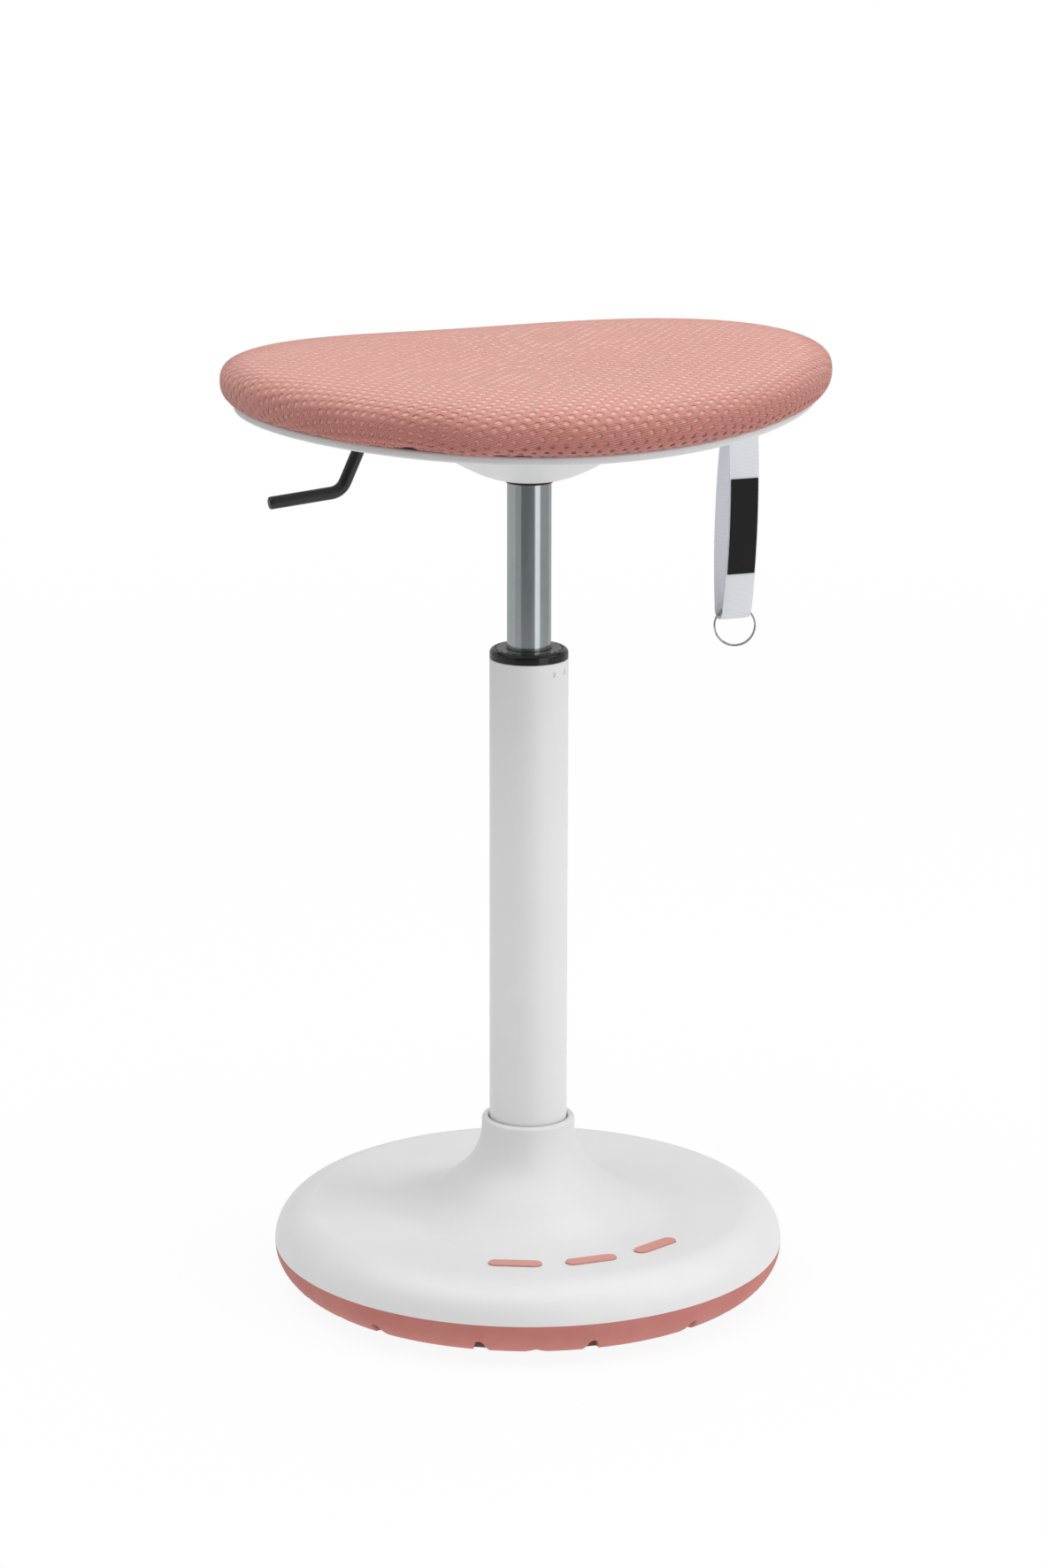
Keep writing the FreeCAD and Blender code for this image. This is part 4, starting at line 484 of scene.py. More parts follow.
        # painted shade: the cloth darkens from the top towards the rim
        colour = shader.blend_colours(
            shader.spread(edge, *self.shade_band), self.colour, self.shade)
        for factor, over in ((groove_shade, self.rib_shade), (lit, self.dimple_highlight), (shaded_holes, self.hole_shade)):
            colour = shader.blend_colours(factor, colour, over)
        shader.feed("Base Color", colour)
        hollow = shader.bump(shader.spread(dent, 0.0, 1.0, 1.0, 0.0), self.dimple_depth)
        rib_height = shader.maths(
            "MULTIPLY", thread, shader.spread(edge, *self.edge_band, *self.ribbed))
        ribs = shader.bump(rib_height, self.rib_depth, 0.8, hollow)
        knit = shader.add("ShaderNodeTexNoise", {
            "Vector": shader.place(uv=CLOTH_MAP), "Scale": 1 / (self.knit * MM), "Detail": 3.0,
            "Roughness": 0.65}).outputs["Fac"]
        shader.feed("Normal", shader.bump(knit, self.knit_depth, 0.5, ribs))
        return shader.material


@dataclass(frozen=True)
class Webbing:
    """Woven polyester webbing: fine cross ribs with a slight silky sheen."""

    name: str = "grey_polyester_webbing"
    colour: str = "f3f5fa"
    shade: str = "d3d6dd"
    rib: float = 1.15
    cross: float = 0.9
    depth: float = 0.16

    def build(self) -> bpy.types.Material:
        """Make the material from the map of places along and across the strap in metres."""
        shader = Shader(self.name, IOR=1.5, Roughness=0.6, Sheen_Weight=0.2, Sheen_Roughness=0.4)
        ribs = shader.bands(self.rib, "X", 0.25, detail=1.0)
        weave = shader.maths("MULTIPLY", ribs, shader.bands(self.cross, "Y", 0.4))
        shader.feed("Base Color", shader.blend_colours(
            shader.spread(weave, 0.0, 0.7), self.shade, self.colour))
        shader.feed("Normal", shader.bump(ribs, self.depth, 0.5))
        return shader.material


@dataclass(frozen=True)
class WovenLabel:
    """Black satin-woven label with a fine diagonal face."""

    name: str = "black_woven_label"
    colour: str = "151517"
    shade: str = "08080a"
    twill: float = 0.8
    depth: float = 0.1

    def build(self) -> bpy.types.Material:
        """Make the material from the label's own map."""
        shader = Shader(self.name, IOR=1.35, Roughness=0.75)
        twill = shader.bands(self.twill, "X", 0.3, math.radians(45))
        shader.feed("Base Color", shader.blend_colours(twill, self.shade, self.colour))
        shader.feed("Normal", shader.bump(twill, self.depth, 0.5))
        return shader.material


WHITE_SHELL = MouldedPlastic("moulded_white_abs", "e7e7e7", "e4e4e5", 0.42)
# painted shade: a darker copy of the white shell plastic for the downward-facing underside
SHADED_WHITE_UNDERSIDE = MouldedPlastic("moulded_white_plastic_shaded_underside", "d6d6d6", "d2d2d3", 0.42)
PINK_INLAY = MouldedPlastic("moulded_pink_abs", "d9978a", "d28f82", 0.36)
BLACK_BUSH = MouldedPlastic("moulded_black_acetal", "0d0d0f", "131315", 0.16, 0.8, 0.004)
# the cuts darken the insides of the sole's slots with painted shade
PINK_SOLE = MouldedRubber(
    "moulded_terracotta_rubber", "c57c73", "bc7269", cuts=(165.0, 24.0, 29.0))
BLACK_RUBBER = MouldedRubber("moulded_black_rubber", "1b1b1d", "131314")
WHITE_COAT = PowderCoat("white_powder_coat", "e8e8e8", "e5e5e6", 0.36)
BLACK_COAT = PowderCoat("black_powder_coat", "0c0c0d", "080809", 0.3, 0.9)
DRAWN_STEEL = metal("drawn_cylinder_steel", "bcc3c6", "b7bec2", 0.15, 1.5, 0.0, Along.LENGTH)
MILL_STEEL = metal("rolled_plate_steel", "8f9396", "7c8084", 0.42, 0.8, 0.01)
ZINC_STEEL = metal("zinc_plated_steel", "c3c7c9", "b2b6b3", 0.3, 1.2, 0.006)
CAST_IRON = metal("sand_cast_iron", "4a4a4c", "39393b", 0.66, 1.4, 0.12)
GROUND_STEEL = metal("ground_bearing_steel", "c6c9cc", "bbbfc3", 0.14, 0.2, 0.002, Along.ROUND)
CHROMED_STEEL = metal("chromed_spring_steel", "b3b5b7", "adafb2", 0.1, 2.0, 0.0)
TURNED_ALUMINIUM = metal(
    "turned_aluminium", "cdcfd1", "bfc2c4", 0.24, 0.25, 0.005, Along.ROUND)


@dataclass
class Dressing:
    """Finish of every node of the frame."""

    finishes: tuple[tuple[object, tuple[str, ...]], ...] = (
        (WHITE_SHELL, ("base_cover", "seat_shell")),
        (PINK_INLAY, ("cover_inlays",)),
        (BLACK_BUSH, ("guide_bush", "ball_cage", "rod_guide")),
        (PINK_SOLE, ("rubber_sole",)),
        (BLACK_RUBBER, ("rubber_bumper", "piston_ring", "dust_ring")),
        (WHITE_COAT, ("column_tube",)),
        (BLACK_COAT, ("release_lever",)),
        (DRAWN_STEEL, ("pressure_tube", "inner_cylinder", "piston_rod")),
        (MILL_STEEL, ("base_plate", "column_socket", "column_end_plate", "cone_socket",
                      "lift_housing", "mounting_plate")),
        (ZINC_STEEL, ("cover_screws", "plate_bolts", "tee_nuts", "shell_screws",
                      "strap_bracket", "bracket_screws", "retaining_clip")),
        (CAST_IRON, ("ballast_ring",)),
        (GROUND_STEEL, ("bearing_balls", "upper_bearing_washer", "lower_bearing_washer",
                        "release_pin")),
        (CHROMED_STEEL, ("split_ring",)),
        (TURNED_ALUMINIUM, ("piston", "valve_body")),
        (PressedPlywood(), ("seat_board",)),
        (CutFoam(), ("seat_foam",)),
    )

    def build(self, nodes: dict[str, Piece]) -> None:
        """Give each node its finish.

        Args:
            nodes: the frame's objects by name.
        """
        for finish, names in self.finishes:
            material = finish.build()
            for name in names:
                nodes[name].data.materials.clear()
                nodes[name].data.materials.append(material)
                LOG.info("%s takes %s", name, material.name)


def ripple(terms: Sequence[float], angle: np.ndarray, tilt: float = 0.0) -> np.ndarray:
    """Sum a row of cosines of an angle, and a sine for a sideways tilt."""
    waves = sum(term * np.cos(order * angle) for order, term in enumerate(terms))
    return waves + tilt * np.sin(angle)


def round_places(count: int) -> np.ndarray:
    """Give evenly spaced angles for one turn; 0 is the front and a quarter turn the right."""
    return np.linspace(-math.pi, math.pi, count, endpoint=False)


def turned(angle: np.ndarray, profile: Iterable[Ring]) -> np.ndarray:
    """Turn a profile round the column's axis.

    Args:
        angle: the places on each ring.
        profile: radius and height of each ring, the same or different at each angle.

    Returns:
        The rings of points, by ring, place on the ring and axis.
    """
    return np.stack([
        np.stack([radius * np.sin(angle), -radius * np.cos(angle), height + 0 * angle], -1)
        for radius, height in profile])


def link_piece(name: str, data: bpy.types.Mesh) -> Piece:
    """Link a mesh to the scene as a new object."""
    piece = bpy.data.objects.new(name, data)
    bpy.context.scene.collection.objects.link(piece)
    return piece


def turned_grid(name: str, rings: np.ndarray, uv: np.ndarray | None = None,
                uv_name: str = CLOTH_MAP) -> Piece:
    """Make a mesh from rings of points that each close on themselves.

    Args:
        name: the object's name.
        rings: points in metres, by ring, place on the ring and axis.
        uv: flat places in metres for each point, or nothing.
        uv_name: name of the UV map.

    Returns:
        The linked object, with quads between the rings and open ends.
    """
    count, around = rings.shape[:2]
    index = np.arange(count * around).reshape(count, around)
    after = np.roll(index, -1, axis=1)
    quads = np.stack([index[:-1], after[:-1], after[1:], index[1:]], axis=-1).reshape(-1, 4)
    data = bpy.data.meshes.new(name)
    data.from_pydata(rings.reshape(-1, 3).tolist(), [], quads.tolist())
    data.polygons.foreach_set("use_smooth", np.ones(len(data.polygons), bool))
    if uv is not None:
        layer = data.uv_layers.new(name=uv_name)
        corners = np.empty(len(data.loops), int)
        data.loops.foreach_get("vertex_index", corners)
        layer.data.foreach_set("uv", uv.reshape(-1, 2)[corners].ravel())
    data.update()
    return link_piece(name, data)


def close_up(piece: Piece, weld: bool = False) -> None:
    """Close a mesh and turn its faces outward.

    Args:
        piece: the object.
        weld: whether to weld rings that lie on each other, or else to fill the open ends.
    """
    mesh = bmesh.new()
    mesh.from_mesh(piece.data)
    if weld:
        bmesh.ops.remove_doubles(mesh, verts=mesh.verts, dist=WELD)
    else:
        ends = [edge for edge in mesh.edges if edge.is_boundary]
        bmesh.ops.holes_fill(mesh, edges=ends, sides=0)
    bmesh.ops.recalc_face_normals(mesh, faces=mesh.faces)
    mesh.to_mesh(piece.data)
    mesh.free()


def cut_out(piece: Piece, cutter: Piece) -> None:
    """Cut one object out of another, and remove the cutter."""
    activate(piece)
    cut = piece.modifiers.new("cut_out", "BOOLEAN")
    cut.operation = "DIFFERENCE"
    cut.solver = "EXACT"
    cut.object = cutter
    bpy.ops.object.modifier_apply(modifier=cut.name)
    bpy.data.objects.remove(cutter)


def hand_over(piece: Piece, finish: object, body: str, replaced: Sequence[str],
              crease: float | None = None) -> None:
    """Finish a piece, hang it on the body that it rides on, and hide the nodes that it stands for.

    Args:
        piece: the object.
        finish: its finish.
        body: the body that it rides on.
        replaced: the nodes that it replaces.
        crease: the angle in degrees from which an edge stays sharp, or nothing.
    """
    if crease is not None:
        activate(piece)
        bpy.ops.object.shade_smooth_by_angle(angle=math.radians(crease))
    piece.data.materials.clear()
    piece.data.materials.append(finish.build())
    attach(piece, body)
    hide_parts(*replaced)
    LOG.info("%s: %d faces", piece.name, len(piece.data.polygons))


@dataclass(frozen=True)
class SeatForm:
    """Outline, rim and crown of the seat in millimetres.

    outline, rim and belly are short sums of cosines of the angle that starts at the seat's
    front and passes its right side. belly is how far the widest line lies over the rim, and
    crown how far the top does.
    """

    outline: tuple[float, ...] = (178.6, -0.2, -14.3, 1.7)
    rim: tuple[float, ...] = (579.6, -2.3, -5.2, 0.5)
    tilt: float = 2.7
    tuck: float = 10.6
    belly: tuple[float, ...] = (11.0, 0.0, -1.3)
    belly_tilt: float = 0.3
    crown: float = 40.9
    back_drop: float = 3.6
    drop_turn: float = 2.0
    squareness: float = 3.0
    dish: float = -12.3

    def reach(self, angle: np.ndarray) -> np.ndarray:
        """Give the cushion's widest radius."""
        return ripple(self.outline, angle)

    def rim_height(self, angle: np.ndarray) -> np.ndarray:
        """Give the height of the shell's rim."""
        return ripple(self.rim, angle, self.tilt)

    def belly_height(self, angle: np.ndarray) -> np.ndarray:
        """Give how far the widest line lies over the rim."""
        return ripple(self.belly, angle, self.belly_tilt)

    def top_rise(self, angle: np.ndarray) -> np.ndarray:
        """Give how far the top lies over the widest line, a little less at the back right."""
        drop = self.back_drop * (0.5 + 0.5 * np.cos(angle - self.drop_turn))
        return self.crown - self.belly_height(angle) - drop


SEAT = SeatForm()


@dataclass
class SeatCushion:
    """Upholstered cushion: mesh drawn over foam and tucked in behind the rim, in millimetres.

    Angles and turns are in radians. Each fold is its angle on the rim, its place inward, its
    height and its half width.
    """

    form: SeatForm = SEAT
    around: int = 640
    side_rings: int = 18
    top_rings: int = 74
    tucked_in: float = 5.0
    tucked_under: float = 0.6
    dimple_depth: float = 0.8
    drawn_width: float = 70.0
    drawn_turn: float = 1.3
    drawn_wave: float = 1.2
    pucker_seed: int = 7
    pucker_pitch: float = 10.0
    pucker_depth: float = 1.3
    pucker_least: float = 0.1
    pucker_rise: float = 0.5
    pucker_jitter: float = 0.35
    pucker_widths: tuple[float, float] = (0.010, 0.022)
    pucker_fade: float = 0.8
    pucker_power: float = 1.5
    pucker_over: int = 4
    slack_turn: float = -0.62
    slack_spread: float = 0.28
    slack_gain: float = 1.6
    fold_lean: float = 42.0
    fold_middle: float = 10.0
    fold_reach: float = 32.0
    fold_start: float = 4.0
    folds: tuple[tuple[float, float, float, float], ...] = (
        (-0.98, 8.0, 1.3, 9.0), (-0.72, 10.0, -1.5, 7.0), (-0.5, 14.0, 1.1, 8.0),
        (-0.3, 12.0, -0.9, 7.0))
    edge_band: float = 45.0
    # where the dimples' holes are painted dark with shade: rows near the rim, over an arc at the
    # front
    hole_band: float = 9.0
    hole_rows: float = 2.2
    hole_turn: float = 0.42
    hole_half_turn: float = 1.3
    hole_wave: float = 1.15
    hole_gain: float = 1.6
    mesh: SpacerMesh = SpacerMesh()

    def skin(self, angle: np.ndarray) -> np.ndarray:
        """Give rings of points from the tucked edge to the middle of the top."""
        form = self.form
        reach = form.reach(angle)
        rim = form.rim_height(angle)
        lift = rim - form.rim[0]
        belly, rise = form.belly_height(angle), form.top_rise(angle)
        rings: list[Ring] = [(reach - form.tuck - self.tucked_in, rim - self.tucked_under)]
        for turn in np.linspace(0.0, QUARTER, self.side_rings):
            rings.append((reach - form.tuck * (1 - math.sin(turn)),
                          rim + belly * (1 - math.cos(turn))))
        for turn in np.linspace(0.0, QUARTER, self.top_rings)[1:-1]:
            share = math.cos(turn)
            outer = share ** 2
            widest = belly.mean() * (1 - outer) + belly * outer
            over = rise.mean() * (1 - outer) + rise * outer
            round_off = (1 - share ** form.squareness) ** (1 / form.squareness)
            height = (form.rim[0] + widest + over * round_off
                      + form.dish * (1 - outer) + lift * outer)
            rings.append((reach * share, height))
        return turned(angle, rings)

    def puckers(self, angle: np.ndarray, rings: np.ndarray) -> np.ndarray:
        """Pull the edge in at small uneven gathers, most of all at the front left."""
        chance = np.random.default_rng(self.pucker_seed)
        step = self.pucker_pitch / self.form.outline[0]
        places = np.arange(-math.pi, math.pi, step)
        count = len(places)
        places = places + chance.uniform(-self.pucker_jitter, self.pucker_jitter, count) * step
        depths = chance.uniform(self.pucker_least, 1.0, count) ** 2 * self.pucker_depth
        slack = np.exp(-((places - self.slack_turn) / self.slack_spread) ** 2)
        depths = depths * (1 + self.slack_gain * slack)
        widths = chance.uniform(*self.pucker_widths, count) * (1 + slack)
        gap = (angle[None, :] - places[:, None] + math.pi) % (2 * math.pi) - math.pi
        pull = (depths[:, None] * np.exp(-(gap / widths[:, None]) ** 2)).sum(0)
        outward = np.stack([np.sin(angle), -np.cos(angle), 0 * angle], -1)
        moved = rings.copy()
        for ring in range(1, self.side_rings + self.pucker_over):
            share = max(0.0, 1 - (ring - 1) / (self.side_rings * self.pucker_fade))
            fade = share ** self.pucker_power
            moved[ring] -= outward * (pull * fade)[:, None]
            moved[ring, :, 2] += pull * fade * self.pucker_rise
        return moved

    def drag(self, angle: np.ndarray, inward: np.ndarray) -> np.ndarray:
        """Give the height of the few soft folds that lean across the front left edge."""
        lean = math.radians(self.fold_lean)
        height = np.zeros(inward.shape)
        for turn, start, rise, half in self.folds:
            run = (angle[None, :] - turn) * self.form.outline[0]
            off = run * math.sin(lean) - (inward - start) * math.cos(lean)
            along = run * math.cos(lean) + (inward - start) * math.sin(lean)
            height += rise * np.exp(
                -(off / half) ** 2 - ((along - self.fold_middle) / self.fold_reach) ** 2)
        return height * np.clip(inward / self.fold_start, 0, 1)

    def runs_to_middle(self, rings: np.ndarray) -> np.ndarray:
        """Give the way along the skin from each point to the middle of the top."""
        runs = np.linalg.norm(np.diff(rings, axis=0), axis=2)
        top = np.linalg.norm(rings[-1][:, :2], axis=1)
        return np.concatenate([np.cumsum(runs[::-1], axis=0)[::-1] + top, top[None, :]])

    def flat_places(self, angle: np.ndarray, rings: np.ndarray) -> np.ndarray:
        """Unroll the skin: give the flat place, in millimetres, that each point came from.

        At the front the rows of the cloth are drawn until they follow the rim.
        """
        distance = self.runs_to_middle(rings)
        flat = np.stack([distance * np.sin(angle), -distance * np.cos(angle)], -1)
        pull = np.clip(1 - (distance[0] - distance) / self.drawn_width, 0, 1)
        pull = pull * pull * (3 - 2 * pull)
        front = np.where(np.abs(angle) < self.drawn_turn, np.cos(self.drawn_wave * angle) ** 2, 0.0)
        front_length = distance[0][np.argmin(np.abs(angle))]
        flat[..., 1] -= pull * front * (front_length - distance[0] * np.cos(angle))
        return flat

    def dimples(self, flat: np.ndarray) -> np.ndarray:
        """Give the depth of the staggered oval dimples at each flat place, from 0 to 1."""
        mesh = self.mesh
        row = flat[..., 1] / mesh.row
        depth = np.zeros(row.shape)
        for line in (np.floor(row), np.floor(row) + 1):
            column = flat[..., 0] / mesh.pitch - 0.5 * (line % 2)
            across = (column - np.round(column)) * mesh.pitch / mesh.half_width
            along = (row - line) * mesh.row / mesh.half_height
            depth = np.maximum(depth, np.clip(1 - across ** 2 - along ** 2, 0, 1))
        return depth

    def normals(self, rings: np.ndarray) -> np.ndarray:
        """Give the outward direction at each point of the skin."""
        beside = np.roll(rings, -1, axis=1) - np.roll(rings, 1, axis=1)
        normal = np.cross(beside, np.gradient(rings, axis=0))
        return normal / (np.linalg.norm(normal, axis=2, keepdims=True) + 1e-12)

    def mark(self, piece: Piece, angle: np.ndarray, rings: np.ndarray) -> None:
        """Store how near each point is to the edge, and where the dimples' holes are painted dark
        as shade.
        """
        distance = self.runs_to_middle(rings)
        inward = (distance[1] - distance).clip(0)
        # painted shade in the dimples' holes: strongest in the rows nearest the rim, over an arc
        # round hole_turn
        turn = angle - self.hole_turn
        front = np.clip(np.cos(self.hole_wave * turn) * self.hole_gain, 0, 1)
        front = front * (np.abs(turn) < self.hole_half_turn)
        marks = {"near_edge": np.clip(1 - inward / self.edge_band, 0, 1),
                 "see_through": np.clip(self.hole_rows - inward / self.hole_band, 0, 1) * front}
        for name, values in marks.items():
            attribute = piece.data.attributes.new(name, "FLOAT", "POINT")
            attribute.data.foreach_set("value", values.ravel())

    def build(self) -> Piece:
        """Make the cushion, its folds, its dimples and its finish."""
        angle = round_places(self.around)
        rings = self.skin(angle)
        flat = self.flat_places(angle, rings)
        rings = self.puckers(angle, rings)
        distance = self.runs_to_middle(rings)
        fold = self.drag(angle, (distance[1] - distance).clip(0))
        lift = fold - self.dimples(flat) * self.dimple_depth
        rings = rings + self.normals(rings) * lift[..., None]
        piece = turned_grid("seat_cushion", rings * MM, flat * MM)
        close_up(piece)
        self.mark(piece, angle, rings)
        hand_over(piece, self.mesh, "seat", ("seat_cover", "seat_foam"))
        return piece


@dataclass
class UnderShell:
    """White shell under the seat: rim band, saddle underside and bulge, in millimetres.

    The slot is the start, the end and the half width of the opening for the release lever.
    """

    form: SeatForm = SEAT
    around: int = 384
    band: float = 5.6
    band_taper: float = 2.0
    overhang: float = 2.2
    over_rim: float = 0.5
    edge: float = 1.8
    wall: float = 2.4
    lip: tuple[tuple[float, float], ...] = ((12.0, 1.4), (6.0, 0.5))
    lip_back: tuple[float, float] = (12.0, 2.6)
    saddle_low: float = 569.4
    saddle_radius: float = 1400.0
    saddle_inside: float = 118.0
    saddle_end: float = 110.0
    hole: float = 15.6
    floor: float = 530.9
    floor_edge: float = 17.5
    bulge_foot: float = 19.7
    bulge_mouth: float = 100.0
    bulge_top: float = 107.0
    bulge_depth: float = 50.6
    bulge_power: float = 1.39
    fillet: float = 2.0
    edge_rings: int = 5
    saddle_rings: int = 14
    saddle_start: float = 0.04
    bulge_rings: int = 44
    slot: tuple[float, float, float] = (68.0, 106.0, 7.0)
    slot_round: float = 4.0
    slot_middle: float = 560.0
    slot_height: float = 60.0

    def bulge_height(self, radius: np.ndarray | float) -> np.ndarray | float:
        """Give the height of the bulge's outside at a radius."""
        share = np.maximum(radius - self.bulge_foot, 0) / (self.bulge_mouth - self.bulge_foot)
        return self.floor + self.bulge_depth * share ** self.bulge_power

    def under_height(self, radius: np.ndarray, angle: np.ndarray, edge: np.ndarray,
                     rim_low: np.ndarray) -> np.ndarray:
        """Give the height of the underside outside the bulge: saddle inside, rim outside."""
        saddle = self.saddle_low + (radius * np.sin(angle)) ** 2 / (2 * self.saddle_radius)
        share = np.clip((radius - self.saddle_inside) / (edge - self.saddle_inside), 0, 1)
        share = share * share * (3 - 2 * share)
        return saddle * (1 - share) + rim_low * share

    def meet(self, first: np.ndarray, second: np.ndarray | float) -> np.ndarray:
        """Give the lower of two heights, with a small fillet where they cross."""
        gap = np.maximum(self.fillet - np.abs(first - second), 0)
        return np.minimum(first, second) - gap ** 2 / (4 * self.fillet)

    def profile(self, angle: np.ndarray) -> list[Ring]:
        """Give the closed profile: from under the cushion round the outside and back."""
        edge = self.form.reach(angle) - self.form.tuck + self.overhang
        top = self.form.rim_height(angle) + self.over_rim
        low = top - self.band + self.band_taper * np.clip(np.sin(angle), 0, 1) ** 2
        rings: list[Ring] = [(edge - inward, top - drop) for inward, drop in self.lip]
        bends = [(math.sin(turn), math.cos(turn))
                 for turn in np.linspace(0, QUARTER, self.edge_rings)]
        for rise, run in bends:
            rings.append((edge - self.edge * (1 - rise), top - self.edge * (1 - run)))
        for rise, run in bends:
            rings.append((edge - self.edge * (1 - run), low + self.edge * (1 - rise)))
        radii = [(edge - self.edge) * (1 - share) + self.saddle_end * share
                 for share in np.linspace(self.saddle_start, 1, self.saddle_rings)]
        radii += [radius + 0 * angle for radius in (
            *np.linspace(self.bulge_top, self.bulge_foot, self.bulge_rings),
            self.floor_edge, self.hole)]
        outside = [
            (radius, self.meet(self.under_height(radius, angle, edge, low),
                               self.bulge_height(radius)))
            for radius in radii]
        inside = [(radius, height + self.wall) for radius, height in outside]
        back = (edge - self.lip_back[0], top - self.lip_back[1])
        return [*rings, *outside, *inside[::-1], back, rings[0]]

    def slot_cutter(self) -> Piece:
        """Make the rounded block that cuts the lever's slot into the bulge."""
        start, end, half = self.slot
        deselect()
        bpy.ops.mesh.primitive_cube_add(
            size=1, location=(-(start + end) / 2 * MM, 0, self.slot_middle * MM))
        cutter = bpy.context.object
        cutter.dimensions = ((end - start) * MM, 2 * half * MM, self.slot_height * MM)
        bpy.ops.object.transform_apply(location=True, rotation=True, scale=True)
        round_off = cutter.modifiers.new("round_off", "BEVEL")
        round_off.width = self.slot_round * MM
        round_off.segments = 6
        round_off.limit_method = "ANGLE"
        bpy.ops.object.modifier_apply(modifier=round_off.name)
        return cutter

    def build(self) -> Piece:
        """Make the shell, cut the lever's slot and finish it."""
        angle = round_places(self.around)
        piece = turned_grid("under_shell", turned(angle, self.profile(angle)) * MM)
        close_up(piece, weld=True)
        cut_out(piece, self.slot_cutter())
        # the underside takes the darker copy of the white plastic, as painted shade
        hand_over(piece, SHADED_WHITE_UNDERSIDE, "seat", ("seat_shell",), 38)
        return piece


@dataclass
class SealRing:
    """Thin black dust ring on the cylinder, right under the shell; sizes in millimetres."""

    inside: float = 14.15
    outside: float = 15.4
    low: float = 528.4
    high: float = 531.3
    edge: float = 0.4
    around: int = 96

    def build(self) -> Piece:
        """Make the ring and finish it."""
        profile = ((self.inside, self.low), (self.outside - self.edge, self.low),
                   (self.outside, self.low + self.edge), (self.outside, self.high),
                   (self.inside, self.high), (self.inside, self.low))
        piece = turned_grid("seal_ring", turned(round_places(self.around), profile) * MM)
        close_up(piece, weld=True)
        hand_over(piece, BLACK_RUBBER, "seat", ("dust_ring",), 30)
        return piece


@dataclass
class RockerSole:
    """The base's rubber sole with the full height of its slots, in millimetres."""

    count: int = 14
    turn: float = -18.1
    half_width: float = 3.3
    half_foot: float = 6.5
    top: float = 16.8
    foot: float = 5.0
    reach: tuple[float, float] = (147.0, 172.0)
    crown_points: int = 9

    def cutter(self) -> Piece:
        """Make the bars that cut the slots: each is wider at its foot and round at its top."""
        mesh = bmesh.new()
        crown = self.top - self.half_width
        outline = [(-self.half_foot, self.foot), (self.half_foot, self.foot)]
        outline += [(self.half_width * math.cos(turn), crown + self.half_width * math.sin(turn))
                    for turn in np.linspace(0, math.pi, self.crown_points)]
        for number in range(self.count):
            angle = math.radians(self.turn + 360.0 * number / self.count)
            out = Vector((math.cos(angle), math.sin(angle), 0.0))
            side = Vector((-out.y, out.x, 0.0))
            near, far = (
                [mesh.verts.new((out * reach + side * across + Vector((0, 0, height))) * MM)
                 for across, height in outline] for reach in self.reach)
            mesh.faces.new(near[::-1])
            mesh.faces.new(far)
            for index in range(len(outline)):
                after = (index + 1) % len(outline)
                mesh.faces.new((near[index], near[after], far[after], far[index]))
        bmesh.ops.recalc_face_normals(mesh, faces=mesh.faces)
        data = bpy.data.meshes.new("sole_cutter")
        mesh.to_mesh(data)
        mesh.free()
        return link_piece("sole_cutter", data)

    def build(self, node: Piece) -> Piece:
        """Copy the sole's solid, cut its slots to their full height and finish it.

        Args:
            node: the frame's sole.

        Returns:
            The sole that shows.
        """
        piece = node.copy()
        piece.data = node.data.copy()
        piece.name = "rocker_sole"
        bpy.context.scene.collection.objects.link(piece)
        piece.matrix_world = Matrix.Identity(4)
        piece.data.transform(node.matrix_world)
        cut_out(piece, self.cutter())
        hand_over(piece, PINK_SOLE, "base", ("rubber_sole",), 32)
        return piece


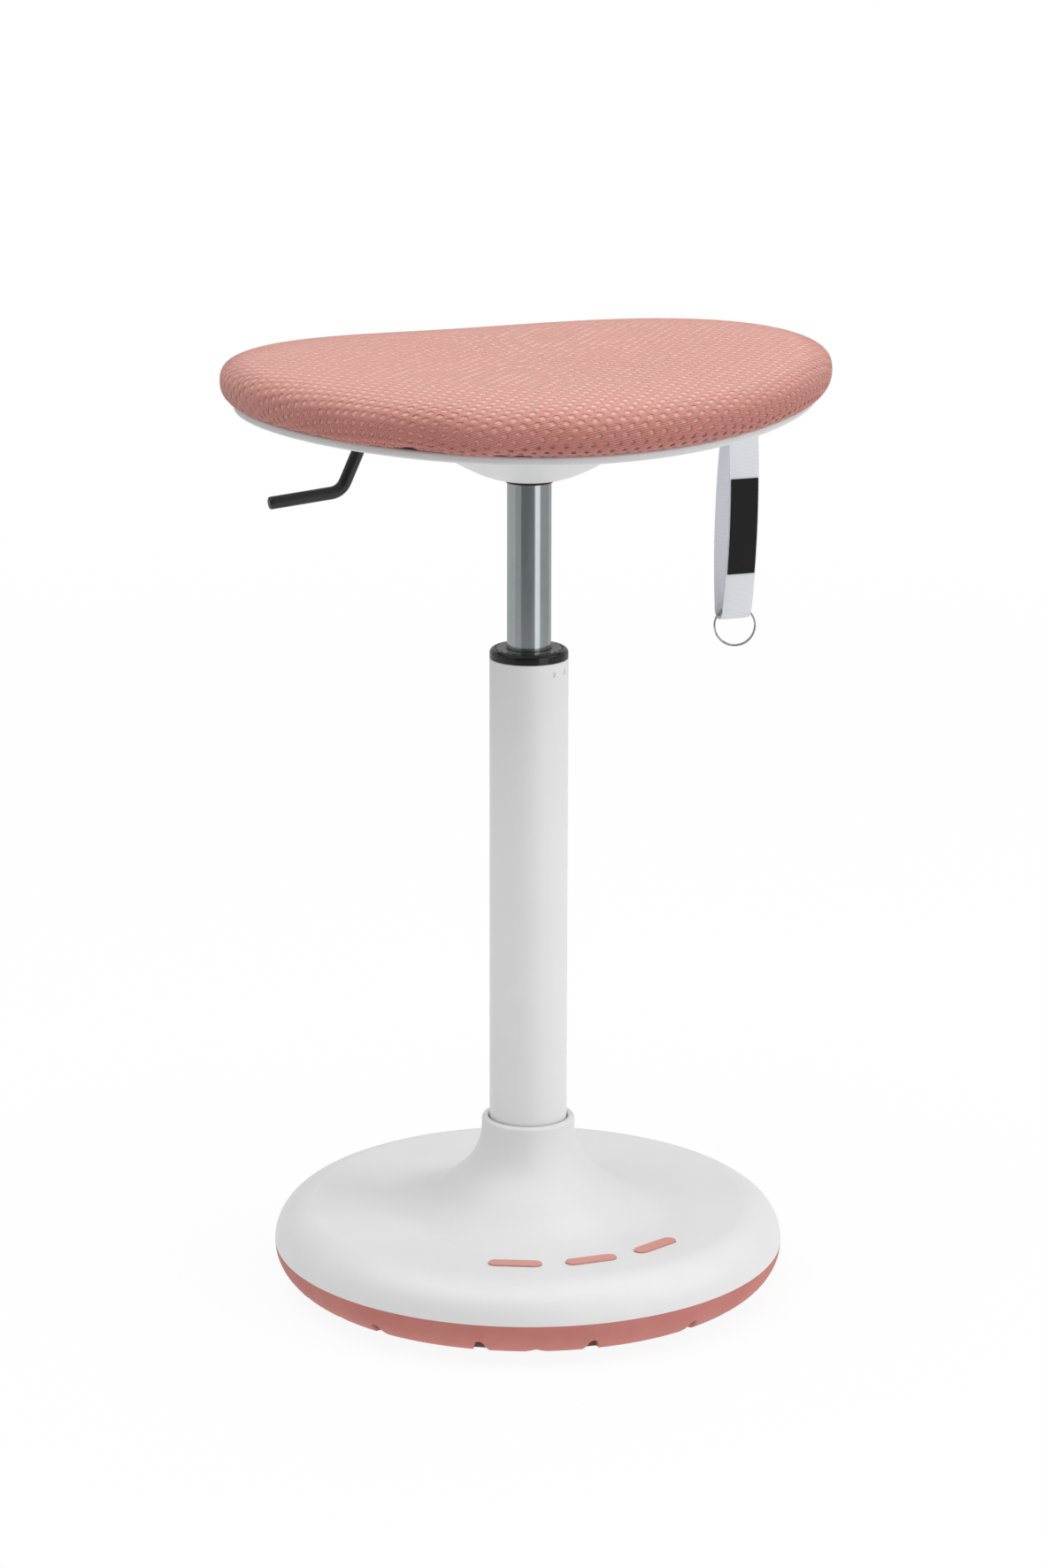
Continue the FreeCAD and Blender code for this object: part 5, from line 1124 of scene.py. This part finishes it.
@dataclass
class CarryStrap:
    """Hanging loop of webbing with a woven label; sizes in millimetres."""

    across: float = 144.0
    width: float = 20.0
    thickness: float = 1.5
    edge_thinning: float = 0.55
    bar_height: float = 566.0
    fold_height: float = 437.6
    top_radius: float = 3.6
    fold_radius: float = 6.5
    leg_radius: float = 338.0
    shift_top: float = -1.5
    shift_fold: float = -4.8
    label_low: float = 460.5
    label_high: float = 524.5
    label_width: float = 18.5
    label_thickness: float = 0.6
    label_sink: float = 0.05
    leg_steps: int = 48
    fold_steps: int = 16
    top_steps: int = 12
    columns: int = 10
    label_columns: int = 8
    crease: float = 40.0

    def leg(self, share: float) -> tuple[float, float]:
        """Give the rear leg's place at a share of the way down; the front leg mirrors it."""
        drop = self.bar_height - self.fold_height
        sag = (drop / 2) ** 2 / (2 * self.leg_radius)
        out = self.top_radius + (self.fold_radius - self.top_radius) * share
        return out + sag * 4 * share * (1 - share), self.bar_height - drop * share

    def middle_line(self) -> list[tuple[float, float]]:
        """Give the loop's middle line as (y, z) places, from the top of the front leg round."""
        legs = [self.leg(step / self.leg_steps) for step in range(self.leg_steps + 1)]
        places = [(-y, z) for y, z in legs]
        for step in range(1, self.fold_steps):
            angle = math.pi * (1 + step / self.fold_steps)
            places.append((self.fold_radius * math.cos(angle),
                           self.fold_height + self.fold_radius * math.sin(angle)))
        places += legs[::-1]
        for step in range(1, self.top_steps):
            angle = math.pi * step / self.top_steps
            places.append((self.top_radius * math.cos(angle),
                           self.bar_height + self.top_radius * math.sin(angle)))
        return places

    def ribbon(self, name: str, line: np.ndarray, outward: np.ndarray, width: float,
               lifts: tuple[np.ndarray, np.ndarray], run: np.ndarray | None = None) -> Piece:
        """Make a strip whose cross-section runs over its front and back over its rear.

        Args:
            name: the object's name.
            line: (y, z) places along the strip.
            outward: the way to its front at each place.
            width: its width.
            lifts: how far its front and its rear lie outward, by column.
            run: the way along the strip at each place, or nothing for a map by height.

        Returns:
            The linked object, with open ends.
        """
        share = np.linspace(1, -1, len(lifts[0]))
        side = np.concatenate([share, share[::-1]])
        lift = np.concatenate([lifts[0], lifts[1][::-1]])
        spots = line[:, None] + outward[:, None] * lift[None, :, None]
        height = spots[..., 1]
        fall = (self.bar_height - height) / (self.bar_height - self.fold_height)
        lean = self.shift_top * (1 - fall) + self.shift_fold * fall
        across = self.across + lean + side * width / 2
        if run is None:
            uv = np.stack([across, height], -1)
        else:
            uv = np.stack(np.broadcast_arrays(run[:, None], (side + 1) / 2 * width), -1)
        rings = np.concatenate([across[..., None], spots], -1)
        return turned_grid(name, rings * MM, uv * MM, WEAVE_MAP)

    def webbing(self, line: np.ndarray) -> tuple[Piece, float]:
        """Make the webbing loop, and give the length of its middle line."""
        ahead = np.roll(line, -1, axis=0) - np.roll(line, 1, axis=0)
        ahead /= np.linalg.norm(ahead, axis=1, keepdims=True)
        outward = np.stack([ahead[:, 1], -ahead[:, 0]], -1)
        closed = np.concatenate([line, line[:1]])
        run = np.concatenate([[0.0], np.cumsum(np.linalg.norm(np.diff(closed, axis=0), axis=1))])
        share = np.linspace(-1, 1, self.columns + 1)
        thick = self.thickness / 2 * (1 - self.edge_thinning * np.abs(share) ** 6)
        strap = self.ribbon("webbing_loop", closed, np.concatenate([outward, outward[:1]]),
                            self.width, (thick, -thick), run)
        close_up(strap, weld=True)
        return strap, float(run[-1])

    def label(self, line: np.ndarray) -> Piece:
        """Make the label that lies on the front leg."""
        leg = line[:self.leg_steps + 1]
        leg = leg[(leg[:, 1] >= self.label_low) & (leg[:, 1] <= self.label_high)]
        flat = np.full(self.label_columns + 1, self.thickness / 2)
        label = self.ribbon("woven_label", leg, np.tile([-1.0, 0.0], (len(leg), 1)),
                            self.label_width,
                            (flat + self.label_thickness, flat - self.label_sink))
        close_up(label)
        return label

    def build(self) -> None:
        """Make the strap and its label."""
        line = np.array(self.middle_line())
        strap, length = self.webbing(line)
        label = self.label(line)
        hand_over(strap, Webbing(), "strap", ("carry_strap",), self.crease)
        hand_over(label, WovenLabel(), "strap", ("strap_label",), self.crease)


@dataclass
class RingTurns:
    """Split ring of two wire turns in the strap's lower fold; sizes in millimetres."""

    centre: Point = (140.5, 0.0, 425.6)
    radius: float = 12.98
    wire: float = 0.62
    pitch: float = 1.5
    turn: float = -20.0
    start: float = 205.0
    step_over: float = 44.0
    along: int = 220
    around: int = 14

    def build(self) -> Piece:
        """Make the ring: sweep the wire along both turns and the step between them."""
        way = np.linspace(0.0, 720.0, self.along)
        share = np.clip((way - 360.0 + self.step_over / 2) / self.step_over, 0, 1)
        side = self.pitch * (share * share * (3 - 2 * share) - 0.5)
        angle = np.radians(self.start + way)
        outward = np.stack([np.cos(angle), 0 * angle, np.sin(angle)], -1)
        line = self.radius * outward
        line[:, 1] = side
        ahead = np.gradient(line, axis=0)
        ahead /= np.linalg.norm(ahead, axis=1, keepdims=True)
        beside = np.cross(ahead, outward)
        turns = np.linspace(0, 2 * math.pi, self.around, endpoint=False)[None, :, None]
        circle = np.cos(turns) * outward[:, None] + np.sin(turns) * beside[:, None]
        swing = np.array(Matrix.Rotation(math.radians(self.turn), 3, "Z"))
        points = (line[:, None] + self.wire * circle) @ swing.T + np.array(self.centre)
        piece = turned_grid("ring_turns", points * MM)
        close_up(piece)
        hand_over(piece, CHROMED_STEEL, "ring", ("split_ring",))
        return piece


@dataclass(frozen=True)
class Card:
    """One upright card of the ring that shiny faces reflect: its azimuths and its glow."""

    name: str
    start: float
    end: float
    glow: float


@dataclass(frozen=True)
class Lamp:
    """One soft rectangular light.

    It hangs at an azimuth, a distance and a height round the stool, faces a height on the
    column, and has a width and a height in metres and a radiance.
    """

    name: str
    azimuth: float
    distance: float
    height: float
    aim: float
    size: tuple[float, float]
    glow: float


@dataclass
class Studio:
    """Pale floor, soft lights, cards for the reflections, and the camera; in metres."""

    eye: Point = (-0.9356, -2.5599, 1.0461)
    heading: tuple[float, float] = (0.342, 0.940)
    pitch: float = 14.67
    roll: float = 0.0016
    lens: float = 101.6
    sensor: float = 36.0
    floor_half: float = 6.0
    floor_fade: tuple[float, float] = (0.35, 2.6)
    floor_points: int = 96
    floor_colour: str = "4c4c4c"
    floor_glow: float = 0.92
    backdrop_light: float = 0.1
    lamps: tuple[Lamp, ...] = (
        Lamp("ceiling", -70.0, 0.2, 4.0, 0.0, (5.0, 5.0), 2.35),
        Lamp("side_right", 80.0, 2.5, 1.5, 0.35, (1.5, 1.5), 3.9),
        Lamp("front", 25.0, 4.0, 0.75, 0.4, (2.4, 1.3), 2.1),
        Lamp("side_left", -65.0, 2.6, 3.0, 0.0, (2.0, 2.0), 1.3),
    )
    ring_radius: float = 1.6
    ring_height: float = 1.5
    card_step: float = 4.0
    cards: tuple[Card, ...] = (
        Card("card_left", -180.0, -76.0, 0.55),
        Card("card_side", -76.0, -42.0, 0.4),
        Card("card_front", -42.0, 30.0, 0.16),
        Card("card_strip", 30.0, 58.0, 1.25),
        Card("card_right", 58.0, 120.0, 0.42),
        Card("card_back", 120.0, 180.0, 0.55),
    )

    def build(self) -> None:
        """Set the floor, the world, the lights and the camera."""
        bpy.context.scene.view_settings.view_transform = "Standard"
        self.set_floor()
        self.set_world()
        for lamp in self.lamps:
            self.hang(lamp)
        for card in self.cards:
            self.stand_card(card)
        self.set_camera()

    def set_floor(self) -> None:
        """Lay the plain floor: white paper that glows, and so fades into the backdrop."""
        deselect()
        bpy.ops.mesh.primitive_circle_add(
            vertices=self.floor_points, radius=self.floor_half, fill_type="NGON")
        floor = bpy.context.object
        floor.name = "studio_floor"
        shader = Shader("studio_floor_paper", Roughness=1.0, IOR=1.0,
                        Emission_Color=linear("ffffff"))
        distance = shader.add("ShaderNodeVectorMath", {0: shader.place()},
                              operation="LENGTH").outputs["Value"]
        fade = shader.spread(distance, *self.floor_fade)
        shader.feed("Base Color", shader.blend_colours(fade, self.floor_colour, "000000"))
        shader.feed("Emission Strength", shader.spread(fade, 0.0, 1.0, self.floor_glow, 1.0))
        floor.data.materials.append(shader.material)

    def set_world(self) -> None:
        """Show a white backdrop, and give only a little light from it."""
        world = bpy.data.worlds.new("studio_world")
        bpy.context.scene.world = world
        world.use_nodes = True
        tree = world.node_tree
        around = tree.nodes["Background"]
        seen = tree.nodes.new("ShaderNodeBackground")
        for node, strength in ((around, self.backdrop_light), (seen, 1.0)):
            node.inputs["Color"].default_value = linear("ffffff")
            node.inputs["Strength"].default_value = strength
        path = tree.nodes.new("ShaderNodeLightPath")
        choose = tree.nodes.new("ShaderNodeMixShader")
        tree.links.new(path.outputs["Is Camera Ray"], choose.inputs["Fac"])
        tree.links.new(around.outputs["Background"], choose.inputs[1])
        tree.links.new(seen.outputs["Background"], choose.inputs[2])
        tree.links.new(choose.outputs["Shader"], tree.nodes["World Output"].inputs["Surface"])

    def spot(self, azimuth: float, distance: float, height: float) -> Point:
        """Give a place round the stool; azimuth 0 is towards the camera and 90 to its right."""
        forward = Vector((*self.heading, 0.0))
        right = Vector((self.heading[1], -self.heading[0], 0.0))
        turn = math.radians(azimuth)
        place = right * math.sin(turn) - forward * math.cos(turn)
        return (place.x * distance, place.y * distance, height)

    def stand_card(self, card: Card) -> None:
        """Stand one card of the ring, which only reflections see."""
        deselect()
        count = max(2, round((card.end - card.start) / self.card_step))
        turns = [card.start + (card.end - card.start) * step / count for step in range(count + 1)]
        corners = [self.spot(turn, self.ring_radius, height)
                   for height in (0.0, self.ring_height) for turn in turns]
        faces = [(step, step + 1, count + step + 2, count + step + 1) for step in range(count)]
        data = bpy.data.meshes.new(card.name)
        data.from_pydata(corners, [], faces)
        piece = link_piece(card.name, data)
        shader = Shader(f"{card.name}_board", Base_Color=linear("000000"), Roughness=1.0,
                        Emission_Color=linear("ffffff"), Emission_Strength=card.glow)
        data.materials.append(shader.material)
        piece.visible_camera = False
        piece.visible_diffuse = False
        piece.visible_shadow = False
        piece.visible_transmission = False

    def hang(self, lamp: Lamp) -> None:
        """Hang one soft light."""
        data = bpy.data.lights.new(lamp.name, "AREA")
        data.shape = "RECTANGLE"
        data.size, data.size_y = lamp.size
        data.energy = lamp.glow * math.pi * data.size * data.size_y
        light = bpy.data.objects.new(lamp.name, data)
        bpy.context.scene.collection.objects.link(light)
        place = Vector(self.spot(lamp.azimuth, lamp.distance, lamp.height))
        turn = (Vector((0, 0, lamp.aim)) - place).to_track_quat("-Z", "Y")
        light.matrix_world = Matrix.Translation(place) @ turn.to_matrix().to_4x4()

    def set_camera(self) -> None:
        """Place the camera as the photograph was taken."""
        data = bpy.data.cameras.new("studio_camera")
        data.lens = self.lens
        data.sensor_width = data.sensor_height = self.sensor
        data.sensor_fit = "VERTICAL"
        camera = bpy.data.objects.new("studio_camera", data)
        bpy.context.scene.collection.objects.link(camera)
        tilt = math.radians(self.pitch)
        forward = Vector((self.heading[0] * math.cos(tilt), self.heading[1] * math.cos(tilt),
                          -math.sin(tilt)))
        turn = forward.to_track_quat("-Z", "Y").to_matrix().to_4x4()
        roll = Matrix.Rotation(self.roll, 4, "Z")
        camera.matrix_world = Matrix.Translation(self.eye) @ turn @ roll
        bpy.context.scene.camera = camera


def main() -> None:
    """Build the stool's soft parts, dress the frame and set the studio."""
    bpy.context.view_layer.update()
    Dressing().build(frame["nodes"])
    RockerSole().build(frame["nodes"]["rubber_sole"])
    SeatCushion().build()
    UnderShell().build()
    SealRing().build()
    CarryStrap().build()
    RingTurns().build()
    Studio().build()


if __name__ == "__main__":
    logging.basicConfig(level=logging.INFO, format="%(message)s")
    main()
